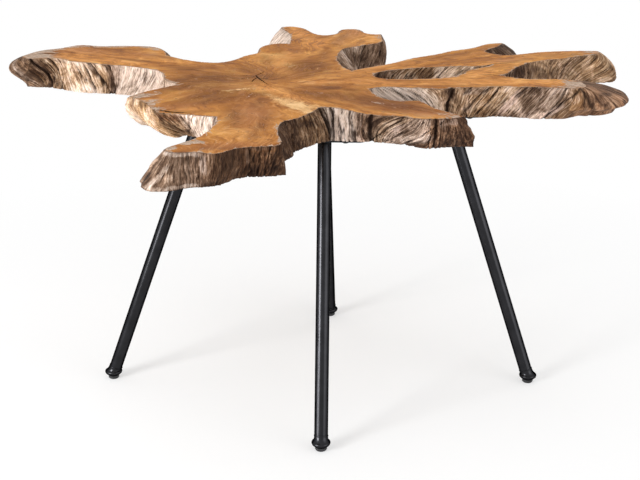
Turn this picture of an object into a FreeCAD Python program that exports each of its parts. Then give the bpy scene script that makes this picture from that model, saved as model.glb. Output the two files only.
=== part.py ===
import FreeCAD, Part
import math
import os

# A low table: a thick slab cut across the root of a tree, on four splayed round steel legs.
# Millimetres. Z is up, the floor is Z = 0, the front of the table faces -Y.
# The origin is on the floor, under the centre of the box that the whole table fills.

Vector = FreeCAD.Vector
UP = Vector(0, 0, 1)

# Driving sizes: alias, value, meaning. Angles are in degrees.
SIZES = (
    ("table_height", 450, "floor to the sanded top"),
    ("slab_length", 1000, "size that the rim's X shares follow"),
    ("slab_width", 870, "size that the rim's Y shares follow"),
    ("slab_thickness", 42, "sanded top to sawn underside"),
    ("splay_angle", 20.2, "leg tube away from upright"),
    ("tube_diameter", 19, "outside of the leg tube"),
    ("tube_wall", 1.5, "wall of the leg tube"),
    ("knee_height", 8, "floor to where the tube's axis meets the foot's axis"),
    ("plate_length", 112, "mounting plate, long side"),
    ("plate_width", 64, "mounting plate, short side"),
    ("plate_thickness", 5, "mounting plate"),
    ("plate_corner", 9, "corner radius of the mounting plate"),
    ("screw_spacing_long", 58, "screws, along the plate's long side"),
    ("screw_spacing_short", 40, "screws, along the plate's short side"),
    ("screw_diameter", 4.8, "shank of a plate screw"),
    ("screw_length", 30, "plate screw under its head"),
    ("screw_point", 5, "tapered end of a plate screw"),
    ("screw_head_diameter", 12.6, "domed head"),
    ("screw_head_height", 4, "domed head"),
    ("screw_drive", 4, "six-sided recess in the head, across corners"),
    ("screw_drive_depth", 2, "depth of that recess"),
    ("fit_clearance", 0.1, "on the radius, around pressed, screwed and socketed pieces"),
    ("ring_diameter", 26.5, "widest part of the bulb foot"),
    ("ring_bead", 6.6, "thickness of the rounded ring of the bulb foot"),
    ("ring_height", 11, "floor to the middle of that ring"),
    ("foot_seat_diameter", 17.6, "flat underside of the bulb foot"),
    ("neck_base_diameter", 24.5, "flare above the ring, at its foot"),
    ("neck_rise", 8, "height of that flare along the tube"),
    ("neck_lip", 0.6, "wall of the flare where it ends on the tube"),
    ("socket_floor", 13.4, "floor to the end of the tube in its socket"),
    ("insert_diameter", 9, "outside of the threaded insert"),
    ("insert_length", 9, "length of the threaded insert"),
    ("stud_diameter", 6, "threaded stud of the glide"),
    ("stud_clearance", 0.3, "on the radius, for the stud's thread"),
    ("stud_rise", 13.5, "stud above the glide pad, screwed right in"),
    ("stud_root", 3.6, "stud moulded into the glide pad"),
    ("stud_chamfer", 0.8, "chamfer on the end of the stud"),
    ("glide_corners", 16.6, "six-sided glide pad, across corners"),
    ("glide_height", 5.2, "height of the glide pad"),
    ("glide_edge", 1.4, "bevel round the glide pad's lower edge"),
    ("overrun", 6, "how far every cut runs past what it cuts"),
)

# The legs: name, place of the tube's axis in the underside as shares of the slab's length and
# width, the way the leg splays and the way the plate's long side runs (degrees from +X).
LEG_SHARES = (
    ("front_left", -0.158, -0.132, 172.5, 38),
    ("front", 0.020, -0.201, -92, -2),
    ("right", 0.201, -0.047, -28, 8),
    ("back", 0.018, 0.006, 85, -66),
)

# The live edge, clockwise as seen from above, in stretches that meet at creases. Each point holds
# its X and Y on the top face as shares of the slab's length and width, and how far the wall
# stands out beyond it at the underside and at half height as shares of the thickness.
RIM_SHARES = (
    # left lobe, rounded tip and far side with its knob
    ((-0.449, 0.152, 0.30, 0.30), (-0.465, 0.174, -0.25, 0.55), (-0.459, 0.210, -0.28, 0.56),
     (-0.443, 0.238, -0.05, 0.46), (-0.414, 0.264, 0.10, 0.32), (-0.389, 0.290, 0.10, 0.30),
     (-0.354, 0.280, 0.00, 0.20), (-0.324, 0.283, 0.00, 0.15), (-0.298, 0.281, 0.10, 0.30),
     (-0.271, 0.277, 0.20, 0.45), (-0.252, 0.256, 0.20, 0.45), (-0.240, 0.222, 0.10, 0.20)),
    # hollow between the left and the back lobe
    ((-0.235, 0.189, 0.00, 0.00), (-0.210, 0.157, 0.10, 0.10), (-0.168, 0.123, 0.15, 0.10),
     (-0.143, 0.121, 0.15, 0.10), (-0.128, 0.136, 0.10, 0.10), (-0.116, 0.161, 0.10, 0.15),
     (-0.101, 0.191, 0.10, 0.15), (-0.088, 0.211, 0.10, 0.10), (-0.087, 0.242, 0.10, 0.10),
     (-0.082, 0.280, 0.15, 0.15), (-0.069, 0.302, 0.10, 0.10)),
    # back lobe, pale end wall
    ((-0.038, 0.305, 0.10, 0.10), (-0.037, 0.351, 0.30, 0.25), (-0.038, 0.391, 0.50, 0.40),
     (-0.046, 0.443, 0.65, 0.50), (-0.056, 0.476, 0.60, 0.45)),
    # back lobe, far side
    ((-0.057, 0.497, 0.25, 0.25), (-0.036, 0.502, 0.00, 0.10), (-0.021, 0.486, 0.00, 0.10),
     (-0.008, 0.452, 0.00, 0.05), (0.006, 0.414, 0.00, 0.00), (0.020, 0.400, 0.00, 0.00),
     (0.034, 0.406, 0.00, 0.05), (0.046, 0.430, 0.05, 0.10), (0.058, 0.468, 0.10, 0.20),
     (0.080, 0.468, 0.20, 0.35), (0.092, 0.426, 0.20, 0.25), (0.104, 0.411, 0.10, 0.15)),
    # back lobe, dark blunt end
    ((0.121, 0.410, 0.15, 0.20), (0.122, 0.368, 0.15, 0.20)),
    # scooped bay between the back and the right lobes
    ((0.120, 0.330, 0.10, 0.10), (0.100, 0.300, 0.10, 0.10), (0.079, 0.281, 0.20, 0.15),
     (0.059, 0.262, 0.50, 0.30), (0.046, 0.224, 0.80, 0.45), (0.042, 0.172, 0.90, 0.50),
     (0.045, 0.115, 0.70, 0.35), (0.052, 0.072, 0.30, 0.15)),
    # upper right lobe, far side
    ((0.062, 0.046, 0.05, 0.05), (0.094, 0.082, 0.00, 0.05), (0.129, 0.117, 0.00, 0.10),
     (0.162, 0.161, 0.00, 0.10), (0.205, 0.201, 0.05, 0.10), (0.233, 0.233, 0.05, 0.10),
     (0.258, 0.252, 0.05, 0.10), (0.280, 0.279, 0.10, 0.15), (0.303, 0.307, 0.25, 0.35)),
    # upper right lobe, blunt end
    ((0.324, 0.313, 0.75, 0.70), (0.314, 0.281, 0.80, 0.65), (0.300, 0.256, 0.55, 0.40),
     (0.289, 0.238, 0.25, 0.15)),
    # middle right lobe, far side
    ((0.286, 0.222, 0.00, 0.00), (0.300, 0.199, 0.00, 0.00), (0.314, 0.190, 0.00, 0.05),
     (0.334, 0.196, 0.00, 0.05), (0.382, 0.222, 0.05, 0.10), (0.412, 0.229, 0.10, 0.15),
     (0.450, 0.231, 0.44, 0.43)),
    # middle right lobe, rounded end and near side
    ((0.471, 0.229, 0.60, 0.63), (0.469, 0.207, 0.70, 0.57), (0.446, 0.187, 0.45, 0.30),
     (0.418, 0.169, 0.20, 0.10), (0.390, 0.149, 0.10, 0.10), (0.368, 0.139, 0.10, 0.10),
     (0.346, 0.122, 0.10, 0.10), (0.326, 0.092, 0.10, 0.10), (0.312, 0.060, 0.10, 0.05),
     (0.300, 0.030, 0.05, 0.00)),
    # lower right lobe, far side and drooping tip
    ((0.286, 0.009, 0.00, 0.00), (0.300, -0.007, 0.00, 0.00), (0.319, -0.020, 0.00, 0.05),
     (0.348, -0.022, 0.35, 0.40), (0.374, -0.025, 1.36, 1.40), (0.390, -0.038, 1.78, 1.86),
     (0.398, -0.060, 1.64, 1.40), (0.397, -0.082, 0.92, 0.90)),
    # lower right lobe, near side
    ((0.387, -0.096, 0.25, 0.40), (0.366, -0.094, 0.35, 0.35), (0.330, -0.088, 0.40, 0.30),
     (0.295, -0.085, 0.30, 0.20),
     (0.266, -0.082, 0.25, 0.20), (0.243, -0.088, 0.20, 0.15), (0.205, -0.092, 0.20, 0.15),
     (0.184, -0.100, 0.15, 0.10), (0.160, -0.094, 0.15, 0.10), (0.137, -0.092, 0.15, 0.10),
     (0.112, -0.087, 0.10, 0.05)),
    # front right lobe, far side
    ((0.085, -0.098, 0.00, 0.00), (0.088, -0.124, 0.00, 0.00), (0.097, -0.156, 0.05, 0.05),
     (0.111, -0.181, 0.10, 0.10), (0.131, -0.187, 0.10, 0.10), (0.147, -0.187, 0.10, 0.10),
     (0.157, -0.203, 0.15, 0.15), (0.165, -0.229, 0.15, 0.18), (0.182, -0.260, 0.38, 0.26)),
    # front right lobe, near side
    ((0.201, -0.288, 0.40, 0.31), (0.185, -0.299, -0.26, 0.14), (0.160, -0.305, -0.20, 0.10),
     (0.139, -0.303, -0.32, 0.00), (0.113, -0.288, -0.42, -0.10), (0.087, -0.284, -0.50, -0.10),
     (0.067, -0.268, -0.28, 0.00), (0.050, -0.249, 0.10, 0.10), (0.037, -0.237, 0.30, 0.20),
     (0.019, -0.231, 0.45, 0.30), (0.007, -0.251, 0.28, 0.22), (-0.007, -0.284, 0.12, 0.12),
     (-0.020, -0.305, 0.10, 0.08)),
    # bay wall on the right of the front left lobe
    ((-0.033, -0.318, 0.30, 0.20), (-0.038, -0.340, 0.38, 0.20), (-0.039, -0.366, 0.22, 0.12),
     (-0.036, -0.400, 0.06, 0.04)),
    # front left lobe, near side and flared tip
    ((-0.031, -0.434, 0.03, 0.00), (-0.041, -0.457, -0.35, -0.10),
     (-0.063, -0.462, -0.34, -0.08), (-0.083, -0.468, -0.35, -0.04), (-0.096, -0.487, -0.20, 0.00),
     (-0.111, -0.499, -0.10, 0.02), (-0.130, -0.491, 0.08, 0.15), (-0.149, -0.493, 0.24, 0.20),
     (-0.166, -0.486, 0.62, 0.37), (-0.170, -0.472, 0.82, 0.45), (-0.162, -0.455, 0.70, 0.39),
     (-0.138, -0.417, 0.34, 0.20),
     (-0.129, -0.389, 0.20, 0.20), (-0.123, -0.354, 0.10, 0.10), (-0.120, -0.320, 0.00, 0.05)),
    # left front lobe, undercut near side
    ((-0.121, -0.291, -0.20, -0.05), (-0.145, -0.282, -0.66, -0.16), (-0.173, -0.272, -1.06, -0.28),
     (-0.197, -0.266, -1.08, -0.26), (-0.209, -0.247, -0.82, -0.15), (-0.219, -0.215, -0.45, 0.00),
     (-0.234, -0.179, -0.42, 0.05)),
    # left front lobe, far side
    ((-0.251, -0.153, -0.35, 0.12), (-0.241, -0.134, -0.15, 0.08), (-0.229, -0.111, 0.00, 0.05),
     (-0.205, -0.079, 0.05, 0.00)),
    # left lobe, near side
    ((-0.196, -0.057, 0.00, 0.00), (-0.213, -0.031, 0.10, 0.00), (-0.221, 0.000, 0.15, 0.00),
     (-0.225, 0.025, 0.25, 0.05), (-0.238, 0.051, 0.38, 0.10), (-0.261, 0.071, 0.40, 0.10),
     (-0.290, 0.090, 0.42, 0.10), (-0.325, 0.103, 0.50, 0.15), (-0.355, 0.118, 0.55, 0.20),
     (-0.382, 0.136, 0.62, 0.20), (-0.407, 0.158, 0.68, 0.22), (-0.430, 0.157, 0.55, 0.26)),
)

# The hole through the slab between the right lobes, anticlockwise, so that here a wall that
# stands out narrows the hole. Same shares.
SLOT_SHARES = (
    # near wall, from the blunt left end to the thin right end
    ((0.095, 0.002, 0.10, 0.10), (0.099, -0.010, 0.20, 0.15), (0.110, -0.020, 0.35, 0.20),
     (0.141, -0.023, 0.50, 0.30), (0.180, -0.018, 0.50, 0.30), (0.210, -0.005, 0.45, 0.25),
     (0.230, 0.022, 0.30, 0.20), (0.240, 0.047, 0.15, 0.10), (0.266, 0.077, 0.05, 0.05)),
    # far wall
    ((0.283, 0.105, 0.00, 0.00), (0.252, 0.087, 0.05, 0.00), (0.232, 0.087, 0.10, 0.05),
     (0.186, 0.078, 0.10, 0.05), (0.141, 0.060, 0.10, 0.05), (0.120, 0.049, 0.10, 0.05),
     (0.101, 0.029, 0.10, 0.05)),
)


def size(name):
    """A driving size, as a plain number."""
    return float(sheet.get(name))


def bind(feature, **formulas):
    """Tie properties of a feature to the sheet. Placement paths are written with underscores."""
    for name, formula in formulas.items():
        feature.setExpression(name.replace("_", "."), formula)
    return feature


def make_sheet():
    """The spreadsheet that holds the driving sizes."""
    table = doc.addObject("Spreadsheet::Sheet", "Sizes")
    for row, (alias, value, meaning) in enumerate(SIZES, start=1):
        table.set("A%d" % row, meaning)
        table.set("B%d" % row, str(value))
        table.setAlias("B%d" % row, alias)
    doc.recompute()
    return table


def wall_levels(stretches):
    """Points of the underside, half-height and top outlines, stretch by stretch."""
    length = size("slab_length")
    width = size("slab_width")
    thickness = size("slab_thickness")
    rows = [row for stretch in stretches for row in stretch]
    flat = [Vector(length * x, width * y, 0) for x, y, foot, belly in rows]
    levels = {"foot": [], "belly": [], "top": []}
    for index, (x, y, foot, belly) in enumerate(rows):
        along = flat[(index + 1) % len(flat)] - flat[index - 1]
        outward = Vector(-along.y, along.x, 0).normalize()
        point = flat[index]
        levels["foot"].append(point + outward * foot * thickness)
        levels["belly"].append(point + outward * belly * thickness + UP * thickness / 2)
        levels["top"].append(point + UP * thickness)
    return levels


def outline(points, stretches):
    """A closed wire of one smooth curve per stretch, creased where the stretches meet."""
    edges = []
    start = 0
    for stretch in stretches:
        stop = start + len(stretch)
        run = points[start:stop] + [points[stop % len(points)]]
        curve = Part.BSplineCurve()
        curve.interpolate(Points=run, Parameters=chord_shares(start, stop, stretches))
        edges.append(curve.toShape())
        start = stop
    return Part.Wire(edges)


def chord_shares(start, stop, stretches):
    """How far along its stretch each point lies on the top face, from 0 to 1."""
    top = wall_levels(stretches)["top"]
    run = top[start:stop] + [top[stop % len(top)]]
    travelled = [0.0]
    for first, second in zip(run, run[1:]):
        travelled.append(travelled[-1] + first.distanceToPoint(second))
    return [distance / travelled[-1] for distance in travelled]


def live_edge_solid(stretches):
    """A solid whose wall runs smoothly from the underside outline to the top outline."""
    levels = wall_levels(stretches)
    wires = [outline(levels[name], stretches) for name in ("foot", "belly", "top")]
    return Part.makeLoft(wires, True, False)


def slot_solid():
    """The hole's own shape, run on past both faces of the slab."""
    core = live_edge_solid(SLOT_SHARES)
    faces = sorted(core.Faces, key=lambda face: face.CenterOfMass.z)
    below = faces[0].extrude(UP * -size("overrun"))
    above = faces[-1].extrude(UP * size("overrun"))
    return core.fuse([below, above])


def make_slab(legs):
    """The root slab: live edge, hole through it, and blind pilot holes for the plate screws."""
    blank = doc.addObject("Part::Feature", "slab_blank")
    blank.Shape = live_edge_solid(RIM_SHARES)
    slot = doc.addObject("Part::Feature", "slab_slot")
    slot.Shape = slot_solid()
    holed = doc.addObject("Part::Cut", "slab_with_slot")
    holed.Base = blank
    holed.Tool = slot
    pilots = []
    for leg in legs:
        for spot in screw_spots(leg):
            pilot = doc.addObject("Part::Cylinder", "pilot_%s" % leg["name"])
            bind(pilot, Radius="Sizes.screw_diameter / 2 + Sizes.fit_clearance",
                 Height="Sizes.screw_length - Sizes.plate_thickness + Sizes.fit_clearance"
                        " + Sizes.overrun")
            pilot.Placement.Base = spot - UP * (spot.z + size("overrun"))
            pilots.append(pilot)
    drills = doc.addObject("Part::MultiFuse", "pilot_holes")
    drills.Shapes = pilots
    slab = doc.addObject("Part::Cut", "root_slab")
    slab.Base = holed
    slab.Tool = drills
    doc.recompute()
    return slab


def make_leg_frames():
    """Where each leg stands: its plate's middle and its foot, before the table is centred."""
    underside = size("table_height") - size("slab_thickness")
    reach = (underside - size("knee_height")) * math.tan(math.radians(size("splay_angle")))
    legs = []
    for name, x_share, y_share, splay_way, plate_way in LEG_SHARES:
        outward = Vector(math.cos(math.radians(splay_way)), math.sin(math.radians(splay_way)), 0)
        axis_spot = Vector(size("slab_length") * x_share, size("slab_width") * y_share, 0)
        legs.append({
            "name": name,
            "splay_way": splay_way,
            "plate_way": plate_way,
            "plate_middle": axis_spot,
            "foot": axis_spot + outward * reach,
        })
    return legs


def screw_spots(leg):
    """The four screws of a leg's plate, on the underside of the slab (Z = 0 here is the slab's)."""
    turn = FreeCAD.Rotation(UP, leg["plate_way"])
    spots = []
    for side in (-1, 1):
        for end in (-1, 1):
            local = Vector(end * size("screw_spacing_long") / 2,
                           side * size("screw_spacing_short") / 2, 0)
            spots.append(leg["plate_middle"] + turn.multVec(local))
    return spots


def make_plate(leg):
    """Steel mounting plate: rounded corners and four screw holes, drawn and padded."""
    import Sketcher
    body = doc.addObject("PartDesign::Body", "mounting_plate_%s" % leg["name"])
    sketch = body.newObject("Sketcher::SketchObject", "plate_outline_%s" % leg["name"])
    attach(sketch, body, "XY_Plane")
    half_long = size("plate_length") / 2
    half_short = size("plate_width") / 2
    corners = [Vector(x * half_long, y * half_short, 0)
               for x, y in ((-1, -1), (1, -1), (1, 1), (-1, 1))]
    for index in range(4):
        sketch.addGeometry(Part.LineSegment(corners[index], corners[(index + 1) % 4]), False)
    for index in range(4):
        sketch.addConstraint(Sketcher.Constraint("Coincident", index, 2, (index + 1) % 4, 1))
    for index, way in enumerate(("Horizontal", "Vertical", "Horizontal", "Vertical")):
        sketch.addConstraint(Sketcher.Constraint(way, index))
    sketch.addConstraint(Sketcher.Constraint("Symmetric", 0, 1, 1, 2, -1, 1))
    name_size(sketch, Sketcher.Constraint("DistanceX", 0, 1, 0, 2, 2 * half_long),
              "Sizes.plate_length")
    name_size(sketch, Sketcher.Constraint("DistanceY", 1, 1, 1, 2, 2 * half_short),
              "Sizes.plate_width")
    pad = body.newObject("PartDesign::Pad", "plate_pad_%s" % leg["name"])
    pad.Profile = sketch
    bind(pad, Length="Sizes.plate_thickness")
    doc.recompute()

    upright = [edge_name(pad.Shape, edge) for edge in pad.Shape.Edges
               if abs(edge.tangentAt(edge.FirstParameter).z) > math.cos(math.radians(1))]
    corner = body.newObject("PartDesign::Fillet", "plate_corners_%s" % leg["name"])
    corner.Base = (pad, upright)
    bind(corner, Radius="Sizes.plate_corner")
    doc.recompute()

    holes = body.newObject("Sketcher::SketchObject", "plate_holes_%s" % leg["name"])
    attach(holes, body, "XY_Plane")
    across = size("screw_spacing_long") / 2
    along = size("screw_spacing_short") / 2
    radius = size("screw_diameter") / 2 + size("fit_clearance")
    for index, (x, y) in enumerate(((-1, -1), (1, -1), (1, 1), (-1, 1))):
        middle = Vector(x * across, y * along, 0)
        holes.addGeometry(Part.Circle(middle, UP, radius), False)
        name_size(holes, Sketcher.Constraint("Radius", index, radius),
                  "Sizes.screw_diameter / 2 + Sizes.fit_clearance")
        ends = (index, 3, -1, 1) if x < 0 else (-1, 1, index, 3)
        name_size(holes, Sketcher.Constraint("DistanceX", *ends, across),
                  "Sizes.screw_spacing_long / 2")
        ends = (index, 3, -1, 1) if y < 0 else (-1, 1, index, 3)
        name_size(holes, Sketcher.Constraint("DistanceY", *ends, along),
                  "Sizes.screw_spacing_short / 2")
    pocket = body.newObject("PartDesign::Pocket", "plate_drilling_%s" % leg["name"])
    pocket.Profile = holes
    pocket.Reversed = True
    bind(pocket, Length="Sizes.plate_thickness + Sizes.overrun")
    body.Tip = pocket
    doc.recompute()
    removed = corner.Shape.Volume - pocket.Shape.Volume
    expected = 4 * math.pi * radius ** 2 * size("plate_thickness")
    if abs(removed - expected) > expected / 100:
        raise ValueError("the plate's holes were not cut through")
    return body


def attach(sketch, body, plane):
    """Put a sketch on one of its own body's origin planes."""
    origin_plane = [feature for feature in body.Origin.OriginFeatures if feature.Role == plane][0]
    sketch.AttachmentSupport = [(origin_plane, "")]
    sketch.MapMode = "FlatFace"


def name_size(sketch, constraint, formula):
    """Add a dimension to a sketch and tie it to the sheet."""
    index = sketch.addConstraint(constraint)
    sketch.setExpression("Constraints[%d]" % index, formula)


def edge_name(shape, wanted):
    """The name, such as Edge3, of one of a shape's edges."""
    for index, edge in enumerate(shape.Edges, start=1):
        if edge.isSame(wanted):
            return "Edge%d" % index
    raise ValueError("edge not found")


def make_screws(leg):
    """Four dome-head screws as one group of separate solids, heads down."""
    radius = size("screw_diameter") / 2
    head_radius = size("screw_head_diameter") / 2
    head_height = size("screw_head_height")
    length = size("screw_length")
    point = size("screw_point")
    # the profile of half a screw, from the dome's top up through the seat to the point
    dome_top = Vector(0, 0, -head_height)
    dome_side = Vector(head_radius * math.sin(math.radians(45)), 0,
                       -head_height * math.sin(math.radians(45)))
    rim = Vector(head_radius, 0, 0)
    seat = Vector(radius, 0, 0)
    shoulder = Vector(radius, 0, length - point)
    tip = Vector(0, 0, length)
    profile = Part.Wire([
        Part.Arc(dome_top, dome_side, rim).toShape(),
        Part.LineSegment(rim, seat).toShape(),
        Part.LineSegment(seat, shoulder).toShape(),
        Part.LineSegment(shoulder, tip).toShape(),
        Part.LineSegment(tip, dome_top).toShape(),
    ])
    turned = Part.Face(profile).revolve(Vector(0, 0, 0), UP, 360)
    drive = six_sided(size("screw_drive"), size("screw_drive_depth") + size("overrun"))
    drive.translate(UP * (-head_height - size("overrun")))
    one = turned.cut(drive)
    under_plate = size("table_height") - size("slab_thickness") - size("plate_thickness")
    group = []
    for spot in screw_spots(leg):
        screw = one.copy()
        screw.translate(spot + UP * under_plate)
        group.append(screw)
    feature = doc.addObject("Part::Feature", "plate_screws_%s" % leg["name"])
    feature.Shape = Part.makeCompound(group)
    return feature


def six_sided(across_corners, height):
    """A plain six-sided prism standing on Z = 0."""
    corners = [Vector(across_corners / 2 * math.cos(math.radians(60 * k)),
                      across_corners / 2 * math.sin(math.radians(60 * k)), 0) for k in range(7)]
    return Part.Face(Part.makePolygon(corners)).extrude(UP * height)


def tilted(feature, distance_formula):
    """Lay a turned primitive along the tube's axis, starting at a distance from the knee.

    In a leg's own frame the foot stands on the origin and the leg splays towards +X.
    """
    feature.Placement.Rotation = FreeCAD.Rotation(Vector(0, 1, 0), -size("splay_angle"))
    feature.setExpression("Placement.Base.x",
                          "-(%s) * sin(Sizes.splay_angle)" % distance_formula)
    feature.setExpression("Placement.Base.z",
                          "Sizes.knee_height + (%s) * cos(Sizes.splay_angle)" % distance_formula)
    return feature


SOCKET_DISTANCE = "(Sizes.socket_floor - Sizes.knee_height) / cos(Sizes.splay_angle)"
RING_DISTANCE = "(Sizes.ring_height - Sizes.knee_height) / cos(Sizes.splay_angle)"
FOOT_UNDERSIDE = "Sizes.glide_height"


def make_tube(leg):
    """Round leg tube: square end in the foot's socket, sloping end against the plate."""
    rise = "(Sizes.table_height - Sizes.slab_thickness - Sizes.knee_height)"
    run = rise + " / cos(Sizes.splay_angle) + Sizes.overrun + Sizes.tube_diameter"
    outside = tilted(doc.addObject("Part::Cylinder", "tube_outside_%s" % leg["name"]),
                     SOCKET_DISTANCE)
    bind(outside, Radius="Sizes.tube_diameter / 2", Height=run)
    inside = tilted(doc.addObject("Part::Cylinder", "tube_inside_%s" % leg["name"]),
                    SOCKET_DISTANCE + " - Sizes.overrun")
    bind(inside, Radius="Sizes.tube_diameter / 2 - Sizes.tube_wall",
         Height=run + " + 2 * Sizes.overrun")
    pipe = doc.addObject("Part::Cut", "tube_pipe_%s" % leg["name"])
    pipe.Base = outside
    pipe.Tool = inside
    mitre = doc.addObject("Part::Box", "tube_mitre_%s" % leg["name"])
    reach = "(" + rise + " * tan(Sizes.splay_angle))"
    bind(mitre, Length="6 * Sizes.tube_diameter", Width="6 * Sizes.tube_diameter",
         Height="4 * Sizes.tube_diameter",
         Placement_Base_x="-" + reach + " - 3 * Sizes.tube_diameter",
         Placement_Base_y="-3 * Sizes.tube_diameter",
         Placement_Base_z="Sizes.table_height - Sizes.slab_thickness - Sizes.plate_thickness")
    tube = doc.addObject("Part::Cut", "leg_tube_%s" % leg["name"])
    tube.Base = pipe
    tube.Tool = mitre
    return tube


def make_bulb_foot(leg):
    """Turned bulb foot: flat seat, rounded ring, flare that wraps the tube, socket and bore."""
    name = leg["name"]
    cup = doc.addObject("Part::Cone", "foot_cup_%s" % name)
    bind(cup, Radius1="Sizes.foot_seat_diameter / 2",
         Radius2="Sizes.ring_diameter / 2 - Sizes.ring_bead / 4",
         Height="Sizes.ring_height - Sizes.glide_height",
         Placement_Base_z=FOOT_UNDERSIDE)
    bead = doc.addObject("Part::Torus", "foot_bead_%s" % name)
    bind(bead, Radius1="(Sizes.ring_diameter - Sizes.ring_bead) / 2",
         Radius2="Sizes.ring_bead / 2", Placement_Base_z="Sizes.ring_height")
    core = doc.addObject("Part::Cylinder", "foot_core_%s" % name)
    bind(core, Radius="(Sizes.ring_diameter - Sizes.ring_bead) / 2",
         Height="Sizes.ring_height + Sizes.ring_bead / 2 - Sizes.glide_height",
         Placement_Base_z=FOOT_UNDERSIDE)
    flare = tilted(doc.addObject("Part::Cone", "foot_flare_%s" % name), RING_DISTANCE)
    bind(flare, Radius1="Sizes.neck_base_diameter / 2",
         Radius2="Sizes.tube_diameter / 2 + Sizes.fit_clearance + Sizes.neck_lip",
         Height="Sizes.neck_rise")
    solid = doc.addObject("Part::MultiFuse", "foot_solid_%s" % name)
    solid.Shapes = [cup, bead, core, flare]
    socket = tilted(doc.addObject("Part::Cylinder", "foot_socket_%s" % name), SOCKET_DISTANCE)
    bind(socket, Radius="Sizes.tube_diameter / 2 + Sizes.fit_clearance",
         Height="Sizes.neck_rise + Sizes.tube_diameter")
    bore = doc.addObject("Part::Cylinder", "foot_bore_%s" % name)
    bind(bore, Radius="Sizes.insert_diameter / 2 + Sizes.fit_clearance",
         Height="Sizes.insert_length + Sizes.overrun + Sizes.ring_bead",
         Placement_Base_z=FOOT_UNDERSIDE + " - Sizes.overrun")
    cuts = doc.addObject("Part::MultiFuse", "foot_cuts_%s" % name)
    cuts.Shapes = [socket, bore]
    foot = doc.addObject("Part::Cut", "bulb_foot_%s" % name)
    foot.Base = solid
    foot.Tool = cuts
    return foot


def make_insert(leg):
    """Threaded insert pressed into the bulb foot, drawn as a plain sleeve."""
    outside = doc.addObject("Part::Cylinder", "insert_outside_%s" % leg["name"])
    bind(outside, Radius="Sizes.insert_diameter / 2", Height="Sizes.insert_length",
         Placement_Base_z=FOOT_UNDERSIDE)
    inside = doc.addObject("Part::Cylinder", "insert_inside_%s" % leg["name"])
    bind(inside, Radius="Sizes.stud_diameter / 2 + Sizes.stud_clearance",
         Height="Sizes.insert_length + 2 * Sizes.overrun",
         Placement_Base_z=FOOT_UNDERSIDE + " - Sizes.overrun")
    insert = doc.addObject("Part::Cut", "threaded_insert_%s" % leg["name"])
    insert.Base = outside
    insert.Tool = inside
    return insert


def make_glide_pad(leg):
    """Six-sided glide pad with a bevelled lower edge and a blind hole for the stud."""
    name = leg["name"]
    prism = doc.addObject("Part::Prism", "pad_prism_%s" % name)
    prism.Polygon = 6
    # two of the corners point square to the splay
    prism.Placement.Rotation = FreeCAD.Rotation(UP, 180 / prism.Polygon)
    bind(prism, Circumradius="Sizes.glide_corners / 2", Height="Sizes.glide_height")
    bevel = doc.addObject("Part::Cone", "pad_bevel_%s" % name)
    bind(bevel, Radius1="Sizes.glide_corners / 2 - Sizes.glide_edge",
         Radius2="Sizes.glide_corners / 2 - Sizes.glide_edge + Sizes.glide_height",
         Height="Sizes.glide_height")
    trimmed = doc.addObject("Part::Common", "pad_trimmed_%s" % name)
    trimmed.Base = prism
    trimmed.Tool = bevel
    hole = doc.addObject("Part::Cylinder", "pad_hole_%s" % name)
    bind(hole, Radius="Sizes.stud_diameter / 2", Height="Sizes.stud_root + Sizes.overrun",
         Placement_Base_z="Sizes.glide_height - Sizes.stud_root")
    pad = doc.addObject("Part::Cut", "glide_pad_%s" % name)
    pad.Base = trimmed
    pad.Tool = hole
    return pad


def make_glide_stud(leg):
    """Stud of the glide, with a chamfered end; its thread is drawn as a plain cylinder."""
    name = leg["name"]
    shank = doc.addObject("Part::Cylinder", "stud_shank_%s" % name)
    bind(shank, Radius="Sizes.stud_diameter / 2",
         Height="Sizes.stud_root + Sizes.stud_rise - Sizes.stud_chamfer",
         Placement_Base_z="Sizes.glide_height - Sizes.stud_root")
    nose = doc.addObject("Part::Cone", "stud_nose_%s" % name)
    bind(nose, Radius1="Sizes.stud_diameter / 2",
         Radius2="Sizes.stud_diameter / 2 - Sizes.stud_chamfer", Height="Sizes.stud_chamfer",
         Placement_Base_z="Sizes.glide_height + Sizes.stud_rise - Sizes.stud_chamfer")
    stud = doc.addObject("Part::Fuse", "glide_stud_%s" % name)
    stud.Base = shank
    stud.Tool = nose
    return stud


def place(feature, spot, turn=0.0):
    """Give a finished sub-part its place in the table."""
    feature.Placement = FreeCAD.Placement(spot, FreeCAD.Rotation(UP, turn))


def check_and_write(nodes):
    """Stop if anything failed, then write one file per sub-part."""
    for feature in doc.Objects:
        if "Invalid" in feature.State or "Error" in feature.State:
            raise ValueError("%s failed: %s" % (feature.Name, feature.State))
    os.makedirs("parts", exist_ok=True)
    for feature in nodes:
        shape = feature.Shape
        if shape.isNull() or not shape.isValid() or not shape.Solids:
            raise ValueError("%s has no valid solid" % feature.Label)
        shape.exportStep("parts/%s.step" % feature.Label)
        print("%-28s solids %d  volume %.0f mm3" % (feature.Label, len(shape.Solids),
                                                    shape.Volume))


doc = FreeCAD.newDocument("root_slab_table")
sheet = make_sheet()
leg_frames = make_leg_frames()
root_slab = make_slab(leg_frames)

# the slab is wider than the feet, so its box centres the table
middle = root_slab.Shape.optimalBoundingBox(False, False).Center
centring = Vector(-middle.x, -middle.y, 0)
underside_height = size("table_height") - size("slab_thickness")

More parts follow.
